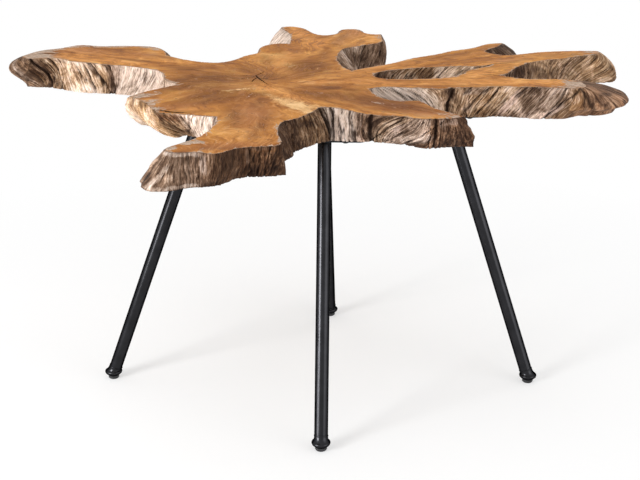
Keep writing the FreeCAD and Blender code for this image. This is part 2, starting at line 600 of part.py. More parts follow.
place(root_slab, centring + UP * underside_height)
sub_parts = [root_slab]
for frame in leg_frames:
    on_foot = [make_tube(frame), make_bulb_foot(frame), make_insert(frame),
               make_glide_pad(frame), make_glide_stud(frame)]
    plate = make_plate(frame)
    screws = make_screws(frame)
    doc.recompute()
    for piece in on_foot:
        place(piece, frame["foot"] + centring, frame["splay_way"])
    plate_height = underside_height - size("plate_thickness")
    place(plate, frame["plate_middle"] + centring + UP * plate_height, frame["plate_way"])
    place(screws, centring)
    sub_parts += on_foot + [plate, screws]
doc.recompute()
for piece in sub_parts:
    piece.Label = piece.Name
check_and_write(sub_parts)
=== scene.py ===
import math
import bpy
import numpy as np
from mathutils import Matrix, Vector, geometry, noise


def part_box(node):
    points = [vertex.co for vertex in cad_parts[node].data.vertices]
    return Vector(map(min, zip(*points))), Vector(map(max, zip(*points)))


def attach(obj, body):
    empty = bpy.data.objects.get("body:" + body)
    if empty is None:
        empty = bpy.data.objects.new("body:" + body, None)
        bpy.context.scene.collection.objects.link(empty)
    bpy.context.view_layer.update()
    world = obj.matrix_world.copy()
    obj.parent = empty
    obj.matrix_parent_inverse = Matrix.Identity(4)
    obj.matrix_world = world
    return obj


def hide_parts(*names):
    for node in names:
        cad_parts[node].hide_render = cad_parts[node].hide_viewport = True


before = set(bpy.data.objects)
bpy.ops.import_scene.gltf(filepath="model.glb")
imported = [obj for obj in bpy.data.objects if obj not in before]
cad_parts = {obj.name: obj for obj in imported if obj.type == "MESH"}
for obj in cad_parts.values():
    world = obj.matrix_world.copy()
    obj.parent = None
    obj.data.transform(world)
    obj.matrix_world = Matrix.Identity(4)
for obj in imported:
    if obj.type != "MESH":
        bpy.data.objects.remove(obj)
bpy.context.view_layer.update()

# Sizes of the CAD model, metres.
LENGTH, WIDTH, THICK, TOP = 1.0, 0.87, 0.042, 0.45
SPLAY = math.radians(20.2)
TUBE_RADIUS = 0.0095
PLATE_THICK = 0.005
KNEE = 0.008
HEART = (-0.081, -0.008)
LEGS = (("front_left", -0.158, -0.132, 172.5), ("front", 0.020, -0.201, -92.0),
        ("right", 0.201, -0.047, -28.0), ("back", 0.018, 0.006, 85.0))

# How finely the slab is sampled: rows down a wall, and metres along the walls, on the top and on
# the underside.
WALL_ROWS = 31
WALL_STEP, TOP_STEP, UNDER_STEP = 0.0011, 0.006, 0.03
# The sanded edge of the top: how far it runs in, and how far its outer and inner line lie under
# the top, metres.
ARRIS, ARRIS_OUTER, ARRIS_INNER = 0.0006, 0.0007, 0.0001
# How wide the raw border of the top is, and how far in the painted hollow shade is full, metres.
RAW_EDGE, HOLLOW_EDGE = 0.0045, 0.03
# A place on the rim belongs to a wall that passes within these distances, metres.
LOOK_REACH, SPOT_REACH = 0.016, 0.012

# Materials of the slab's faces and shades of its points. On the walls, dark is partly painted
# shade, raw holds a painted highlight on the ridges, and hollow a painted shade in the grooves.
OILED, WALL, SAWN, CRACKED = range(4)
SHADES = ("pale", "dark", "red", "gold", "raw", "hollow")

# The rim, as stretches that meet at creases, clockwise from the tip of the left lobe. A point has
# x and y in thousandths of the length and width, and how far the wall stands out at the underside
# and at half height, in hundredths of the thickness.
RIM = (
    ((-449, 152, 30, 30), (-465, 174, -25, 55), (-459, 210, -28, 56), (-443, 238, -5, 46),
     (-414, 264, 10, 32), (-389, 290, 10, 30), (-354, 280, 0, 20), (-324, 283, 0, 15),
     (-298, 281, 10, 30), (-271, 277, 20, 45), (-252, 256, 20, 45), (-240, 222, 10, 20)),
    ((-235, 189, 0, 0), (-210, 157, 10, 10), (-168, 123, 15, 10), (-143, 121, 15, 10),
     (-128, 136, 10, 10), (-116, 161, 10, 15), (-101, 191, 10, 15), (-88, 211, 10, 10),
     (-87, 242, 10, 10), (-82, 280, 15, 15), (-69, 302, 10, 10)),
    ((-38, 305, 10, 10), (-37, 351, 30, 25), (-38, 391, 50, 40), (-46, 443, 65, 50), (-56, 476, 60, 45)),
    ((-57, 497, 25, 25), (-36, 502, 0, 10), (-21, 486, 0, 10), (-8, 452, 0, 5), (6, 414, 0, 0),
     (20, 400, 0, 0), (34, 406, 0, 5), (46, 430, 5, 10), (58, 468, 10, 20), (80, 468, 20, 35),
     (92, 426, 20, 25), (104, 411, 10, 15)),
    ((121, 410, 15, 20), (122, 368, 15, 20)),
    ((120, 330, 10, 10), (100, 300, 10, 10), (79, 281, 20, 15), (59, 262, 50, 30), (46, 224, 80, 45),
     (42, 172, 90, 50), (45, 115, 70, 35), (52, 72, 30, 15)),
    ((62, 46, 5, 5), (94, 82, 0, 5), (129, 117, 0, 10), (162, 161, 0, 10), (205, 201, 5, 10),
     (233, 233, 5, 10), (258, 252, 5, 10), (280, 279, 10, 15), (303, 307, 25, 35)),
    ((324, 313, 75, 70), (314, 281, 80, 65), (300, 256, 55, 40), (289, 238, 25, 15)),
    ((286, 222, 0, 0), (300, 199, 0, 0), (314, 190, 0, 5), (334, 196, 0, 5), (382, 222, 5, 10),
     (412, 229, 10, 15), (450, 231, 44, 43)),
    ((471, 229, 60, 63), (469, 207, 70, 57), (446, 187, 45, 30), (418, 169, 20, 10), (390, 149, 10, 10),
     (368, 139, 10, 10), (346, 122, 10, 10), (326, 92, 10, 10), (312, 60, 10, 5), (300, 30, 5, 0)),
    ((286, 9, 0, 0), (300, -7, 0, 0), (319, -20, 0, 5), (348, -22, 35, 40), (374, -25, 136, 140),
     (390, -38, 178, 186), (398, -60, 164, 140), (397, -82, 92, 90)),
    ((387, -96, 25, 40), (366, -94, 35, 35), (330, -88, 40, 30), (295, -85, 30, 20), (266, -82, 25, 20),
     (243, -88, 20, 15), (205, -92, 20, 15), (184, -100, 15, 10), (160, -94, 15, 10), (137, -92, 15, 10),
     (112, -87, 10, 5)),
    ((85, -98, 0, 0), (88, -124, 0, 0), (97, -156, 5, 5), (111, -181, 10, 10), (131, -187, 10, 10),
     (147, -187, 10, 10), (157, -203, 15, 15), (165, -229, 15, 18), (182, -260, 38, 26)),
    ((201, -288, 40, 31), (185, -299, -26, 14), (160, -305, -20, 10), (139, -303, -32, 0),
     (113, -288, -42, -10), (87, -284, -50, -10), (67, -268, -28, 0), (50, -249, 10, 10),
     (37, -237, 30, 20), (19, -231, 45, 30), (7, -251, 28, 22), (-7, -284, 12, 12), (-20, -305, 10, 8)),
    ((-33, -318, 30, 20), (-38, -340, 38, 20), (-39, -366, 22, 12), (-36, -400, 6, 4)),
    ((-31, -434, 3, 0), (-41, -457, -35, -10), (-63, -462, -34, -8), (-83, -468, -35, -4),
     (-96, -487, -20, 0), (-111, -499, -10, 2), (-130, -491, 8, 15), (-149, -493, 24, 20),
     (-166, -486, 62, 37), (-170, -472, 82, 45), (-162, -455, 70, 39), (-138, -417, 34, 20),
     (-129, -389, 20, 20), (-123, -354, 10, 10), (-120, -320, 0, 5)),
    ((-121, -291, -20, -5), (-145, -282, -66, -16), (-173, -272, -106, -28), (-197, -266, -108, -26),
     (-209, -247, -82, -15), (-219, -215, -45, 0), (-234, -179, -42, 5)),
    ((-251, -153, -35, 12), (-241, -134, -15, 8), (-229, -111, 0, 5), (-205, -79, 5, 0)),
    ((-196, -57, 0, 0), (-213, -31, 10, 0), (-221, 0, 15, 0), (-225, 25, 25, 5), (-238, 51, 38, 10),
     (-261, 71, 40, 10), (-290, 90, 42, 10), (-325, 103, 50, 15), (-355, 118, 55, 20),
     (-382, 136, 62, 20), (-407, 158, 68, 22), (-430, 157, 55, 26)),
)

# The slot in the same form, but anticlockwise, so that its wall faces the hole.
SLOT = (
    ((95, 2, 10, 10), (99, -10, 20, 15), (110, -20, 35, 20), (141, -23, 50, 30), (180, -18, 50, 30),
     (210, -5, 45, 25), (230, 22, 30, 20), (240, 47, 15, 10), (266, 77, 5, 5)),
    ((283, 105, 0, 0), (252, 87, 5, 0), (232, 87, 10, 5), (186, 78, 10, 5), (141, 60, 10, 5),
     (120, 49, 10, 5), (101, 29, 10, 5)),
)

# Looks of the wall at places on the rim (x and y in mm), clockwise from the tip of the left lobe.
# The last rows are the slot's. The lean of the fibres is in degrees, + to the right going up as
# seen from outside, and the others are in percent: four tints, of which dark is partly painted
# shade, and how deep the flutes are.
LOOKS = ("pale", "dark", "red", "gold", "lean", "flutes")
WALL_LOOKS = (
    (-455, 140, 15, 70, 10, 10, -50, 110), (-464, 150, 10, 60, 10, 10, -50, 90),
    (-440, 209, 40, 40, 0, 10, -20, 100), (-392, 251, 50, 30, 0, 10, 10, 100),
    (-330, 246, 50, 30, 0, 20, 20, 100), (-263, 236, 40, 40, 10, 10, 0, 100),
    (-237, 180, 30, 50, 0, 10, -20, 100), (-196, 124, 40, 40, 0, 20, -10, 100),
    (-152, 104, 40, 30, 0, 20, 10, 100), (-106, 160, 30, 40, 10, 20, 20, 100),
    (-81, 246, 50, 30, 0, 20, 10, 100), (-60, 266, 40, 40, 0, 10, 0, 100),
    (-38, 300, 100, 0, 0, 10, 5, 50), (-38, 344, 100, 0, 0, 20, 10, 50),
    (-47, 389, 100, 0, 0, 20, 10, 50), (-56, 430, 80, 10, 20, 10, 10, 70),
    (-23, 426, 50, 30, 0, 10, 0, 100), (14, 351, 30, 50, 0, 10, 0, 100), (56, 406, 40, 40, 10, 0, 0, 100),
    (86, 399, 30, 50, 20, 0, 0, 100), (110, 355, 30, 50, 20, 10, 5, 100),
    (122, 330, 20, 60, 20, 10, 10, 80), (110, 272, 25, 55, 20, 10, 20, 90),
    (87, 250, 35, 45, 10, 10, 30, 100), (60, 228, 45, 35, 10, 10, 35, 80),
    (47, 202, 50, 30, 10, 0, 30, 80), (42, 148, 30, 50, 10, 10, 20, 100),
    (46, 95, 20, 60, 10, 10, 0, 100), (63, 44, 20, 70, 10, 10, 0, 100),
    (114, 88, 40, 30, 0, 30, -20, 100), (181, 156, 40, 40, 0, 20, -30, 100),
    (254, 216, 40, 30, 0, 20, -30, 100), (313, 271, 40, 40, 10, 10, -10, 100),
    (322, 268, 20, 80, 0, 0, -10, 80), (301, 223, 20, 80, 0, 0, -20, 60),
    (287, 205, 30, 70, 0, 0, -20, 80), (308, 167, 40, 40, 0, 10, 0, 100),
    (370, 189, 50, 30, 0, 20, 20, 100), (449, 201, 40, 40, 0, 20, 20, 100),
    (470, 195, 35, 40, 10, 50, 58, 90), (450, 165, 35, 35, 10, 60, 62, 90),
    (425, 152, 35, 35, 10, 60, 60, 90), (400, 136, 35, 40, 10, 30, 45, 100),
    (372, 123, 25, 35, 0, 40, 20, 50), (352, 110, 20, 40, 0, 40, 10, 40), (335, 93, 25, 50, 0, 30, 5, 70),
    (322, 75, 15, 90, 0, 0, 5, 80), (303, 32, 30, 70, 0, 10, 20, 100), (290, 12, 40, 50, 0, 20, 0, 100),
    (310, -13, 30, 50, 0, 20, 0, 100), (379, -24, 30, 50, 10, 10, 0, 90),
    (397, -49, 10, 65, 60, 20, 10, 50), (390, -80, 15, 55, 60, 30, 5, 50),
    (375, -83, 30, 40, 30, 50, 30, 60), (362, -81, 50, 25, 30, 40, 42, 100),
    (345, -79, 55, 20, 20, 10, 45, 110), (325, -76, 50, 25, 20, 10, 45, 110),
    (300, -74, 45, 30, 20, 20, 42, 100), (280, -72, 45, 25, 10, 50, 42, 100),
    (262, -72, 45, 20, 10, 70, 48, 110), (240, -77, 40, 25, 10, 60, 45, 110),
    (222, -78, 35, 35, 20, 40, 25, 110), (207, -80, 30, 45, 10, 40, 10, 100),
    (198, -83, 20, 70, 0, 20, 14, 100), (188, -86, 40, 40, 0, 40, -10, 100),
    (172, -86, 80, 10, 0, 40, -40, 90), (150, -81, 120, 0, 0, 10, -52, 90),
    (125, -78, 120, 0, 0, 10, -56, 70), (108, -76, 100, 5, 0, 10, -58, 80),
    (92, -80, 40, 50, 20, 10, -50, 100), (86, -105, 30, 60, 10, 0, 0, 100),
    (113, -159, 30, 50, 20, 0, 0, 100), (158, -179, 30, 50, 20, 0, 0, 100),
    (181, -225, 30, 50, 30, 10, 0, 100), (198, -250, 10, 90, 40, 10, -12, 120),
    (186, -259, 20, 85, 40, 20, -10, 130), (174, -263, 20, 85, 40, 20, -5, 130),
    (163, -265, 10, 95, 40, 10, -2, 140), (156, -266, 15, 85, 30, 10, 5, 120),
    (148, -265, 55, 20, 20, 10, 40, 90), (130, -260, 60, 20, 30, 10, 58, 100),
    (112, -251, 50, 25, 20, 10, 58, 100), (98, -249, 35, 40, 10, 30, 45, 100),
    (84, -246, 25, 60, 10, 20, 30, 100), (74, -239, 20, 70, 20, 10, 15, 100),
    (66, -232, 50, 30, 40, 10, 5, 120), (56, -222, 100, 0, 20, 10, -2, 120),
    (40, -208, 100, 0, 20, 10, -8, 120), (28, -202, 90, 10, 10, 20, -12, 130),
    (15, -204, 35, 55, 20, 40, -14, 130), (2, -229, 20, 72, 10, 40, -8, 140),
    (-12, -253, 20, 75, 10, 30, -5, 140), (-22, -266, 10, 95, 10, 10, -10, 100),
    (-34, -280, 15, 105, 0, 10, -12, 60), (-39, -306, 15, 105, 0, 10, -12, 60),
    (-36, -346, 20, 90, 10, 10, -5, 80), (-31, -376, 20, 90, 20, 10, 0, 100),
    (-36, -392, 10, 110, 30, 20, 4, 150), (-60, -402, 15, 110, 30, 30, 3, 150),
    (-74, -404, 20, 110, 30, 20, 2, 130), (-84, -408, 0, 120, 20, 0, 4, 70),
    (-95, -421, 0, 120, 10, 0, 6, 60), (-109, -434, 0, 120, 10, 0, 6, 60),
    (-122, -431, 10, 100, 10, 0, 4, 70), (-131, -427, 25, 75, 10, 0, 2, 70),
    (-143, -428, 30, 60, 10, 0, 2, 55), (-155, -429, 25, 60, 0, 0, 3, 50),
    (-165, -420, 25, 60, 0, 0, 6, 45), (-163, -397, 35, 45, 0, 0, 10, 50),
    (-140, -366, 40, 40, 10, 0, 10, 100), (-121, -287, 30, 50, 10, 0, 0, 100),
    (-127, -251, 80, 15, 10, 10, 18, 120), (-145, -246, 95, 5, 10, 10, 20, 110),
    (-160, -240, 70, 20, 10, 30, 0, 110), (-172, -237, 30, 50, 10, 50, -30, 120),
    (-190, -234, 25, 50, 20, 60, -42, 120), (-205, -222, 35, 30, 10, 80, -48, 130),
    (-218, -190, 45, 20, 10, 90, -50, 130), (-232, -160, 50, 20, 10, 80, -50, 120),
    (-251, -133, 60, 20, 0, 50, -40, 100), (-235, -105, 50, 30, 0, 20, 0, 100),
    (-206, -70, 50, 30, 0, 20, 0, 100), (-205, -45, 70, 20, 10, 30, 10, 90),
    (-215, -18, 75, 15, 20, 50, 20, 80), (-222, 8, 60, 25, 20, 60, 25, 80),
    (-232, 38, 90, 5, 20, 10, 25, 60), (-250, 55, 90, 5, 20, 0, 20, 50), (-275, 70, 90, 5, 20, 0, 15, 50),
    (-295, 80, 85, 10, 20, 0, 5, 60), (-308, 85, 35, 60, 20, 0, -10, 80),
    (-318, 88, 45, 30, 10, 60, -35, 100), (-335, 93, 60, 15, 10, 80, -42, 110),
    (-355, 104, 70, 5, 0, 90, -45, 110), (-377, 114, 70, 5, 0, 90, -45, 100),
    (-393, 128, 55, 20, 10, 70, -45, 100), (-407, 138, 40, 40, 10, 50, -48, 100),
    (-423, 138, 25, 60, 10, 20, -50, 110), (-437, 135, 20, 65, 10, 20, -50, 110),
    (97, 18, 15, 95, 10, 0, 0, 80), (112, 36, 25, 75, 10, 10, 20, 100), (130, 48, 45, 40, 0, 60, 42, 120),
    (165, 62, 50, 30, 0, 60, 48, 120), (205, 73, 55, 25, 0, 60, 50, 120),
    (240, 76, 50, 35, 0, 50, 50, 110), (266, 79, 30, 70, 10, 10, 50, 100),
    (240, 41, 30, 60, 0, 20, 0, 100), (180, -17, 30, 60, 0, 20, 0, 100),
    (110, -20, 30, 60, 0, 20, 0, 100),
)

# Single patches on the wall: place on the rim, depth under the top, half height and half width in
# mm, the lean in degrees and the strength in percent.
WALL_MARKS = {
    # Dark patches are partly dark wood and partly painted shade, such as the strip under the top at -400,
    # 134.
    "dark": (
        (-440, 133, 20, 20, 9, -45, 100), (-424, 137, 16, 13, 8, -45, 90), (-340, 97, 12, 10, 4, -45, 90),
        (-325, 90, 22, 16, 4, -50, 90), (-302, 83, 5, 6, 14, 0, 60), (-400, 134, 3, 3, 28, 0, 70),
        (-190, -236, 6, 6, 22, 0, 90), (318, -76, 5, 6, 17, 0, 70),
    ),
    "pale": (
        (-456, 136, 18, 20, 4, -45, 80), (-385, 120, 23, 12, 16, -45, 60),
        (-150, -243, 9, 9, 14, 10, 100), (-164, -424, 26, 14, 3, 20, 100),
        (-124, -431, 13, 13, 4, -5, 100), (-150, -429, 39, 3, 26, 0, 100), (-74, -404, 10, 12, 3, -8, 90),
        (135, -262, 29, 10, 20, 60, 90), (115, -252, 18, 7, 8, 40, 80), (172, -263, 7, 7, 5, -10, 100),
        (184, -260, 4, 4, 9, 0, 80), (288, -73, 21, 26, 8, 42, 95), (345, -79, 32, 13, 10, 58, 100),
        # The pale patch at 135, -80 is a painted highlight.
        (378, -83, 20, 15, 6, 25, 50), (235, -77, 6, 6, 28, 0, 60), (135, -80, 14, 12, 22, -50, 130),
        (30, -203, 3, 3, 24, 0, 80), (-150, -429, 2, 3, 26, 0, 110), (-60, -402, 2, 4, 24, 0, 70),
    ),
    "gold": (
        (-385, 120, 23, 14, 22, -45, 90), (-55, -401, 4, 4, 26, 0, 80), (-5, -243, 4, 4, 20, 0, 80),
        (378, -83, 20, 15, 6, 25, 100), (-432, 135, 30, 12, 3, -50, 80),
    ),
    "red": (
        (-190, -236, 6, 6, 22, 0, 70), (115, -252, 18, 7, 8, 40, 60), (288, -73, 21, 26, 8, 42, 60),
        (345, -79, 32, 13, 10, 58, 60),
    ),
}

# Swellings (+) and hollows (-) of the wall: place on the rim, depth under the top, half height
# and half width in mm, the lean in degrees, and how far the wall moves, in mm.
SWELLS = (
    (396, -66, 42, 12, 36, 0, -17), (397, -56, 26, 8, 26, 0, 5), (397, -56, 10, 8, 26, 0, 2),
    (378, -86, 22, 14, 8, 0, 4), (-440, 133, 20, 20, 9, -45, -5), (-456, 136, 18, 20, 5, -45, 2),
    (66, -232, 24, 20, 9, 5, -3), (52, -219, 22, 18, 14, -5, 3), (130, -259, 30, 12, 20, 60, 3),
    (288, -73, 21, 26, 9, 42, -2), (345, -79, 32, 13, 12, 58, 2), (-100, -428, 22, 22, 14, 0, -2),
    (-168, -404, 38, 16, 14, 0, -4), (-167, -424, 46, 14, 8, 0, 4), (-112, -436, 46, 11, 12, 0, -3),
    (-84, -410, 46, 11, 12, 0, 3),
)

# Deep creases in the wall: place on the rim in mm, lean in degrees, width and depth in mm.
CREASES = (
    (197, -83, 16, 8, 8), (76, -241, 14, 8, 8), (98, -249, 52, 4, 5), (-27, -272, -14, 5, 7),
    (-30, -385, 4, 4, 4), (-45, -397, 3, 3, 4), (-57, -402, 4, 3, 4), (-68, -405, 2, 3, 4),
    (-96, -424, 6, 3, 2), (33, -204, -14, 4, 4), (163, -265, -2, 5, 5), (156, -266, 5, 3, 4),
    (-221, 14, 25, 5, 5), (-308, 85, -20, 5, 5), (-327, 91, -48, 5, 5), (-345, 98, -40, 4, 4),
    (-400, 133, -48, 6, 5), (-425, 138, -50, 8, 8), (-200, -230, -40, 4, 5), (-180, -235, -30, 4, 5),
    (-216, -195, -45, 4, 5), (-232, -160, -45, 4, 5), (255, -76, 45, 4, 4), (300, -74, 42, 3, 3),
    (361, -82, 50, 5, 5), (392, -84, -10, 5, 5), (226, -78, 10, 4, 3), (140, -82, -52, 3, 3),
    (123, -256, 58, 4, 4), (146, -267, 55, 4, 5), (338, 98, 10, 6, 6), (400, 134, 45, 4, 4),
    (436, 160, 55, 4, 4), (80, 246, 35, 5, 4), (110, 275, 25, 5, 4), (121, 330, 10, 4, 4),
    (150, 57, 48, 4, 5), (190, 68, 50, 4, 5), (-162, -238, 20, 3, 4), (20, -201, -20, 5, 5),
)

# Drying cracks in the sanded top: points as x, y and width in mm, and depth in mm.
CRACKS = (
    (((-83, 8, 1.6), (-79, -8, 2.6), (-71, -34, 2.2), (-60, -63, 0.1)), 3.5),
    (((-80.5, -10, 1.6), (-85, -28, 2.2), (-88, -43, 0.1)), 3.0),
    (((-76, -14, 1.4), (-62, -20, 2.0), (-45, -27, 0.1)), 3.0),
    (((-84, -2, 1.4), (-97, 6, 1.8), (-112, 9, 0.1)), 3.0),
    (((-80, 12, 1.2), (-74, 25, 1.7), (-71, 38, 0.1)), 2.5),
    (((-86, -8, 1.2), (-101, -15, 1.6), (-113, -27, 0.1)), 2.5),
    (((284, 92, 2.4), (302, 98, 1.8), (324, 104, 0.1)), 4.0),
    (((283, 5, 2.0), (268, 12, 2.4), (250, 16, 0.1)), 4.0),
    (((-155, -234, 1.5), (-170, -231, 5.0), (-186, -226, 6.0), (-203, -214, 1.5)), 6.0),
    (((-448, 172, 1.5), (-432, 178, 5.0), (-416, 176, 3.5), (-398, 168, 0.2)), 5.0),
)

# Marks on the sanded top: x, y, half length and half width in mm, the turn in degrees and the
# strength in percent.
TOP_MARKS = {
    "dark": (
        (-160, -35, 76, 56, 80, 115), (-135, -125, 62, 40, 60, 110), (-195, -75, 44, 30, 60, 75),
        (-81, -6, 50, 34, 20, 75), (-95, 45, 40, 32, 90, 55), (-190, 55, 50, 20, 150, 60),
        (-5, 75, 64, 36, 88, 95), (-8, 18, 34, 22, 80, 55), (392, 165, 56, 22, 8, 45),
        (-155, -60, 48, 44, 0, 30), (40, -85, 52, 15, -20, 70), (85, -160, 96, 34, -38, 95),
        (15, -125, 52, 22, -45, 70), (-75, -122, 20, 18, 90, 80), (-70, -175, 44, 10, 88, 55),
        (-285, 126, 60, 7, 149, 75), (-235, 150, 38, 13, 150, 50), (-330, 216, 60, 8, 175, 45),
        (50, 312, 66, 10, 80, 65), (20, 165, 80, 12, 85, 50), (-55, 200, 70, 11, 100, 40),
        (-70, 120, 50, 14, 95, 50), (60, 235, 26, 12, 60, 50), (14, 330, 30, 14, 70, 45),
        (240, 175, 55, 13, 45, 45), (180, 128, 60, 7, 35, 50), (290, 225, 34, 10, 60, 50),
        (30, -172, 60, 4, -48, 75), (100, -222, 60, 6, -32, 60), (40, -58, 60, 9, -8, 45),
        (150, -30, 60, 4, 2, 45), (250, -63, 100, 4, 0, 45), (-98, -255, 70, 16, 95, 60),
        (-62, -300, 70, 12, 84, 60), (-112, -408, 30, 9, 0, 50), (330, 120, 44, 8, 35, 40),
        (-215, -225, 26, 7, 10, 70), (-160, -225, 36, 8, 5, 50), (270, 60, 44, 5, 58, 45),
        (90, 50, 60, 5, 32, 45),
    ),
    "gold": (
        (-330, 158, 80, 22, 160, 60), (-375, 143, 50, 18, 150, 90), (-294, 110, 52, 13, 155, 90),
        (-215, 108, 44, 11, 160, 60), (-60, -88, 32, 14, -45, 90), (-45, 115, 76, 15, 85, 70),
        (6, 275, 56, 20, 93, 100), (-22, 370, 66, 16, 97, 100), (108, 315, 42, 11, 85, 85),
        (92, 62, 44, 17, 38, 85), (150, 108, 46, 14, 42, 60), (375, 165, 66, 20, 22, 65),
        (255, 22, 46, 18, 58, 75), (100, -44, 90, 20, 0, 50), (290, -44, 130, 28, 0, 85),
        (10, -44, 24, 20, 0, 90), (-150, -62, 30, 8, 30, 60), (-110, -82, 30, 9, 20, 65),
        (-30, -130, 50, 12, -60, 70), (125, -243, 44, 7, -22, 80), (-158, -205, 44, 16, 30, 55),
        (-90, -345, 46, 22, 95, 30), (290, 95, 30, 14, 40, 60),
    ),
    "red": (
        (-375, 203, 54, 18, 165, 70), (-275, 172, 44, 18, 155, 55), (72, 365, 60, 22, 75, 70),
        (105, -190, 74, 30, -38, 65), (150, -235, 44, 16, -30, 80), (-75, -250, 96, 30, 92, 75),
        (-100, -400, 54, 20, 10, 80), (300, 215, 44, 14, 60, 50), (-170, -190, 50, 20, 30, 45),
        (310, 125, 26, 12, 20, 70), (55, -30, 40, 12, 0, 35), (-30, 210, 50, 16, 90, 35),
    ),
    "pale": (
        (-16, -188, 42, 17, -62, 100), (-44, -150, 24, 8, -62, 75), (-2, -222, 16, 10, -60, 90),
        (28, -204, 10, 6, 0, 55), (-4, -42, 12, 10, 0, 45), (-102, -90, 20, 3, 20, 60),
    ),
    "raw": (
        (-203, -50, 22, 10, -60, 100), (-216, -30, 20, 8, -40, 100), (-234, -132, 26, 16, 60, 100),
        (-222, -178, 36, 13, 70, 100), (-208, -212, 20, 10, 60, 100), (-145, -384, 24, 8, 15, 100),
        (-162, -408, 14, 7, 60, 90), (-440, 160, 34, 24, 60, 120), (-446, 190, 34, 22, 80, 120),
        (-415, 138, 26, 8, 150, 100), (-425, 215, 24, 12, 40, 95), (-395, 238, 20, 8, 20, 100),
        (-345, 240, 60, 8, 178, 100), (-275, 234, 26, 9, 150, 100), (-258, 215, 14, 10, 100, 100),
        (-48, 300, 6, 24, 0, 60), (115, 330, 5, 26, 0, 60), (388, -50, 22, 30, 0, 110),
        (376, -72, 22, 14, 0, 100), (188, -252, 16, 9, 40, 100), (175, -240, 10, 10, 40, 80),
        (455, 190, 10, 14, 0, 80), (96, -175, 18, 5, -20, 60), (62, 62, 8, 10, 0, 60),
    ),
}


# The live edge as smooth curves.
def unit(ways):
    """The same directions, each of length one."""
    return ways / np.maximum(1e-9, np.linalg.norm(ways, axis=1))[:, None]


def outward_of(loop, reach=1):
    """Directions out of the wood at the points of a closed loop, of any length."""
    along = np.roll(loop, -reach, axis=0) - np.roll(loop, reach, axis=0)
    return np.stack([-along[:, 1], along[:, 0]], 1)


def smoothed(values, reach):
    """Running mean round a closed line, over so many samples to either side."""
    width = 2 * reach + 1
    ring = np.concatenate([values[-reach:], values, values[:reach]])
    return np.convolve(ring, np.ones(width) / width, "valid")


def clamped_spline(points, knots, at):
    """A smooth cubic through the points whose end slopes follow the first and last four."""
    n = len(points)
    if n < 4:
        basis = [np.prod([(at - knots[j]) / (knots[i] - knots[j]) for j in range(n) if j != i],
                         axis=0) for i in range(n)]
        return sum(b[:, None] * p for b, p in zip(basis, points))
    slopes = np.zeros_like(points)
    for end, pick in ((0, range(4)), (n - 1, range(n - 4, n))):
        for i in pick:
            others = [j for j in pick if j != i]
            scale = np.prod([knots[i] - knots[j] for j in others])
            rise = sum(np.prod([knots[end] - knots[k] for k in others if k != j])
                       for j in others)
            slopes[end] += points[i] * rise / scale
    gaps = np.diff(knots)
    rises = np.diff(points, axis=0) / gaps[:, None]
    matrix = np.eye(n)
    right = slopes.copy()
    for i in range(1, n - 1):
        matrix[i, i - 1] = 1 / gaps[i - 1]
        matrix[i, i] = 2 * (1 / gaps[i - 1] + 1 / gaps[i])
        matrix[i, i + 1] = 1 / gaps[i]
        right[i] = 3 * (rises[i - 1] / gaps[i - 1] + rises[i] / gaps[i])
    slopes = np.linalg.solve(matrix, right)
    span = np.clip(np.searchsorted(knots, at, side="right") - 1, 0, n - 2)
    gap = gaps[span][:, None]
    t = ((at - knots[span]) / gaps[span])[:, None]
    return ((2 * t ** 3 - 3 * t ** 2 + 1) * points[span]
            + (t ** 3 - 2 * t ** 2 + t) * gap * slopes[span]
            + (-2 * t ** 3 + 3 * t ** 2) * points[span + 1]
            + (t ** 3 - t ** 2) * gap * slopes[span + 1])


def wall_curves(stretches):
    """Underside, half-height and top curves of a wall, sampled together."""
    rows = np.array([row for stretch in stretches for row in stretch]) / (1000, 1000, 100, 100)
    flat = rows[:, :2] * (LENGTH, WIDTH)
    outward = unit(outward_of(flat))
    levels = [flat + outward * rows[:, 2:3] * THICK, flat + outward * rows[:, 3:4] * THICK, flat]
    curves = [[], [], []]
    start = 0
    for stretch in stretches:
        index = [i % len(rows) for i in range(start, start + len(stretch) + 1)]
        chords = np.linalg.norm(np.diff(flat[index], axis=0), axis=1)
        knots = np.concatenate([[0], np.cumsum(chords)]) / chords.sum()
        count = max(4, int(chords.sum() / WALL_STEP))
        at = np.arange(count) / count
        for curve, level in zip(curves, levels):
            curve.append(clamped_spline(level[index], knots, at))
        start += len(stretch)
    return [np.concatenate(curve) for curve in curves]


# Repeatable noise.
def scatter(cells, seed):
    """A repeatable number from -1 to 1 for each whole-number place."""
    mixed = (cells[0] * 374761393 + cells[1] * 668265263 + seed * 1013904223) & 0xFFFFFFFF
    mixed = ((mixed ^ (mixed >> 13)) * 1274126177) & 0xFFFFFFFF
    return ((mixed ^ (mixed >> 16)) & 0xFFFFFF) / 0x7FFFFF - 1


def ripples(across, up, seed):
    """Smooth noise on two arrays, about -1 to 1: one octave, and one half as strong and large."""
    total = 0.0
    for octave in (0, 1):
        places = [np.asarray(p) * 2.0 ** octave + octave * 17.3 for p in (across, up)]
        cells = [np.floor(p).astype(np.int64) for p in places]
        parts = [p - c for p, c in zip(places, cells)]
        eased = [p * p * p * (p * (p * 6 - 15) + 10) for p in parts]
        value = 0.0
        for i in (0, 1):
            for j in (0, 1):
                corner = (cells[0] + i, cells[1] + j)
                slope = (scatter(corner, seed) * (parts[0] - i)
                         + scatter(corner, seed + 57) * (parts[1] - j))
                value = value + (slope * (eased[0] if i else 1 - eased[0])
                                 * (eased[1] if j else 1 - eased[1]))
        total = total + value * 1.6 / 2.0 ** octave
    return total


def veins(across, up, seed, gain):
    """Thin winding lines, 1 on a line and 0 away from it."""
    return 1 - np.minimum(1, np.abs(ripples(across, up, seed)) * gain)


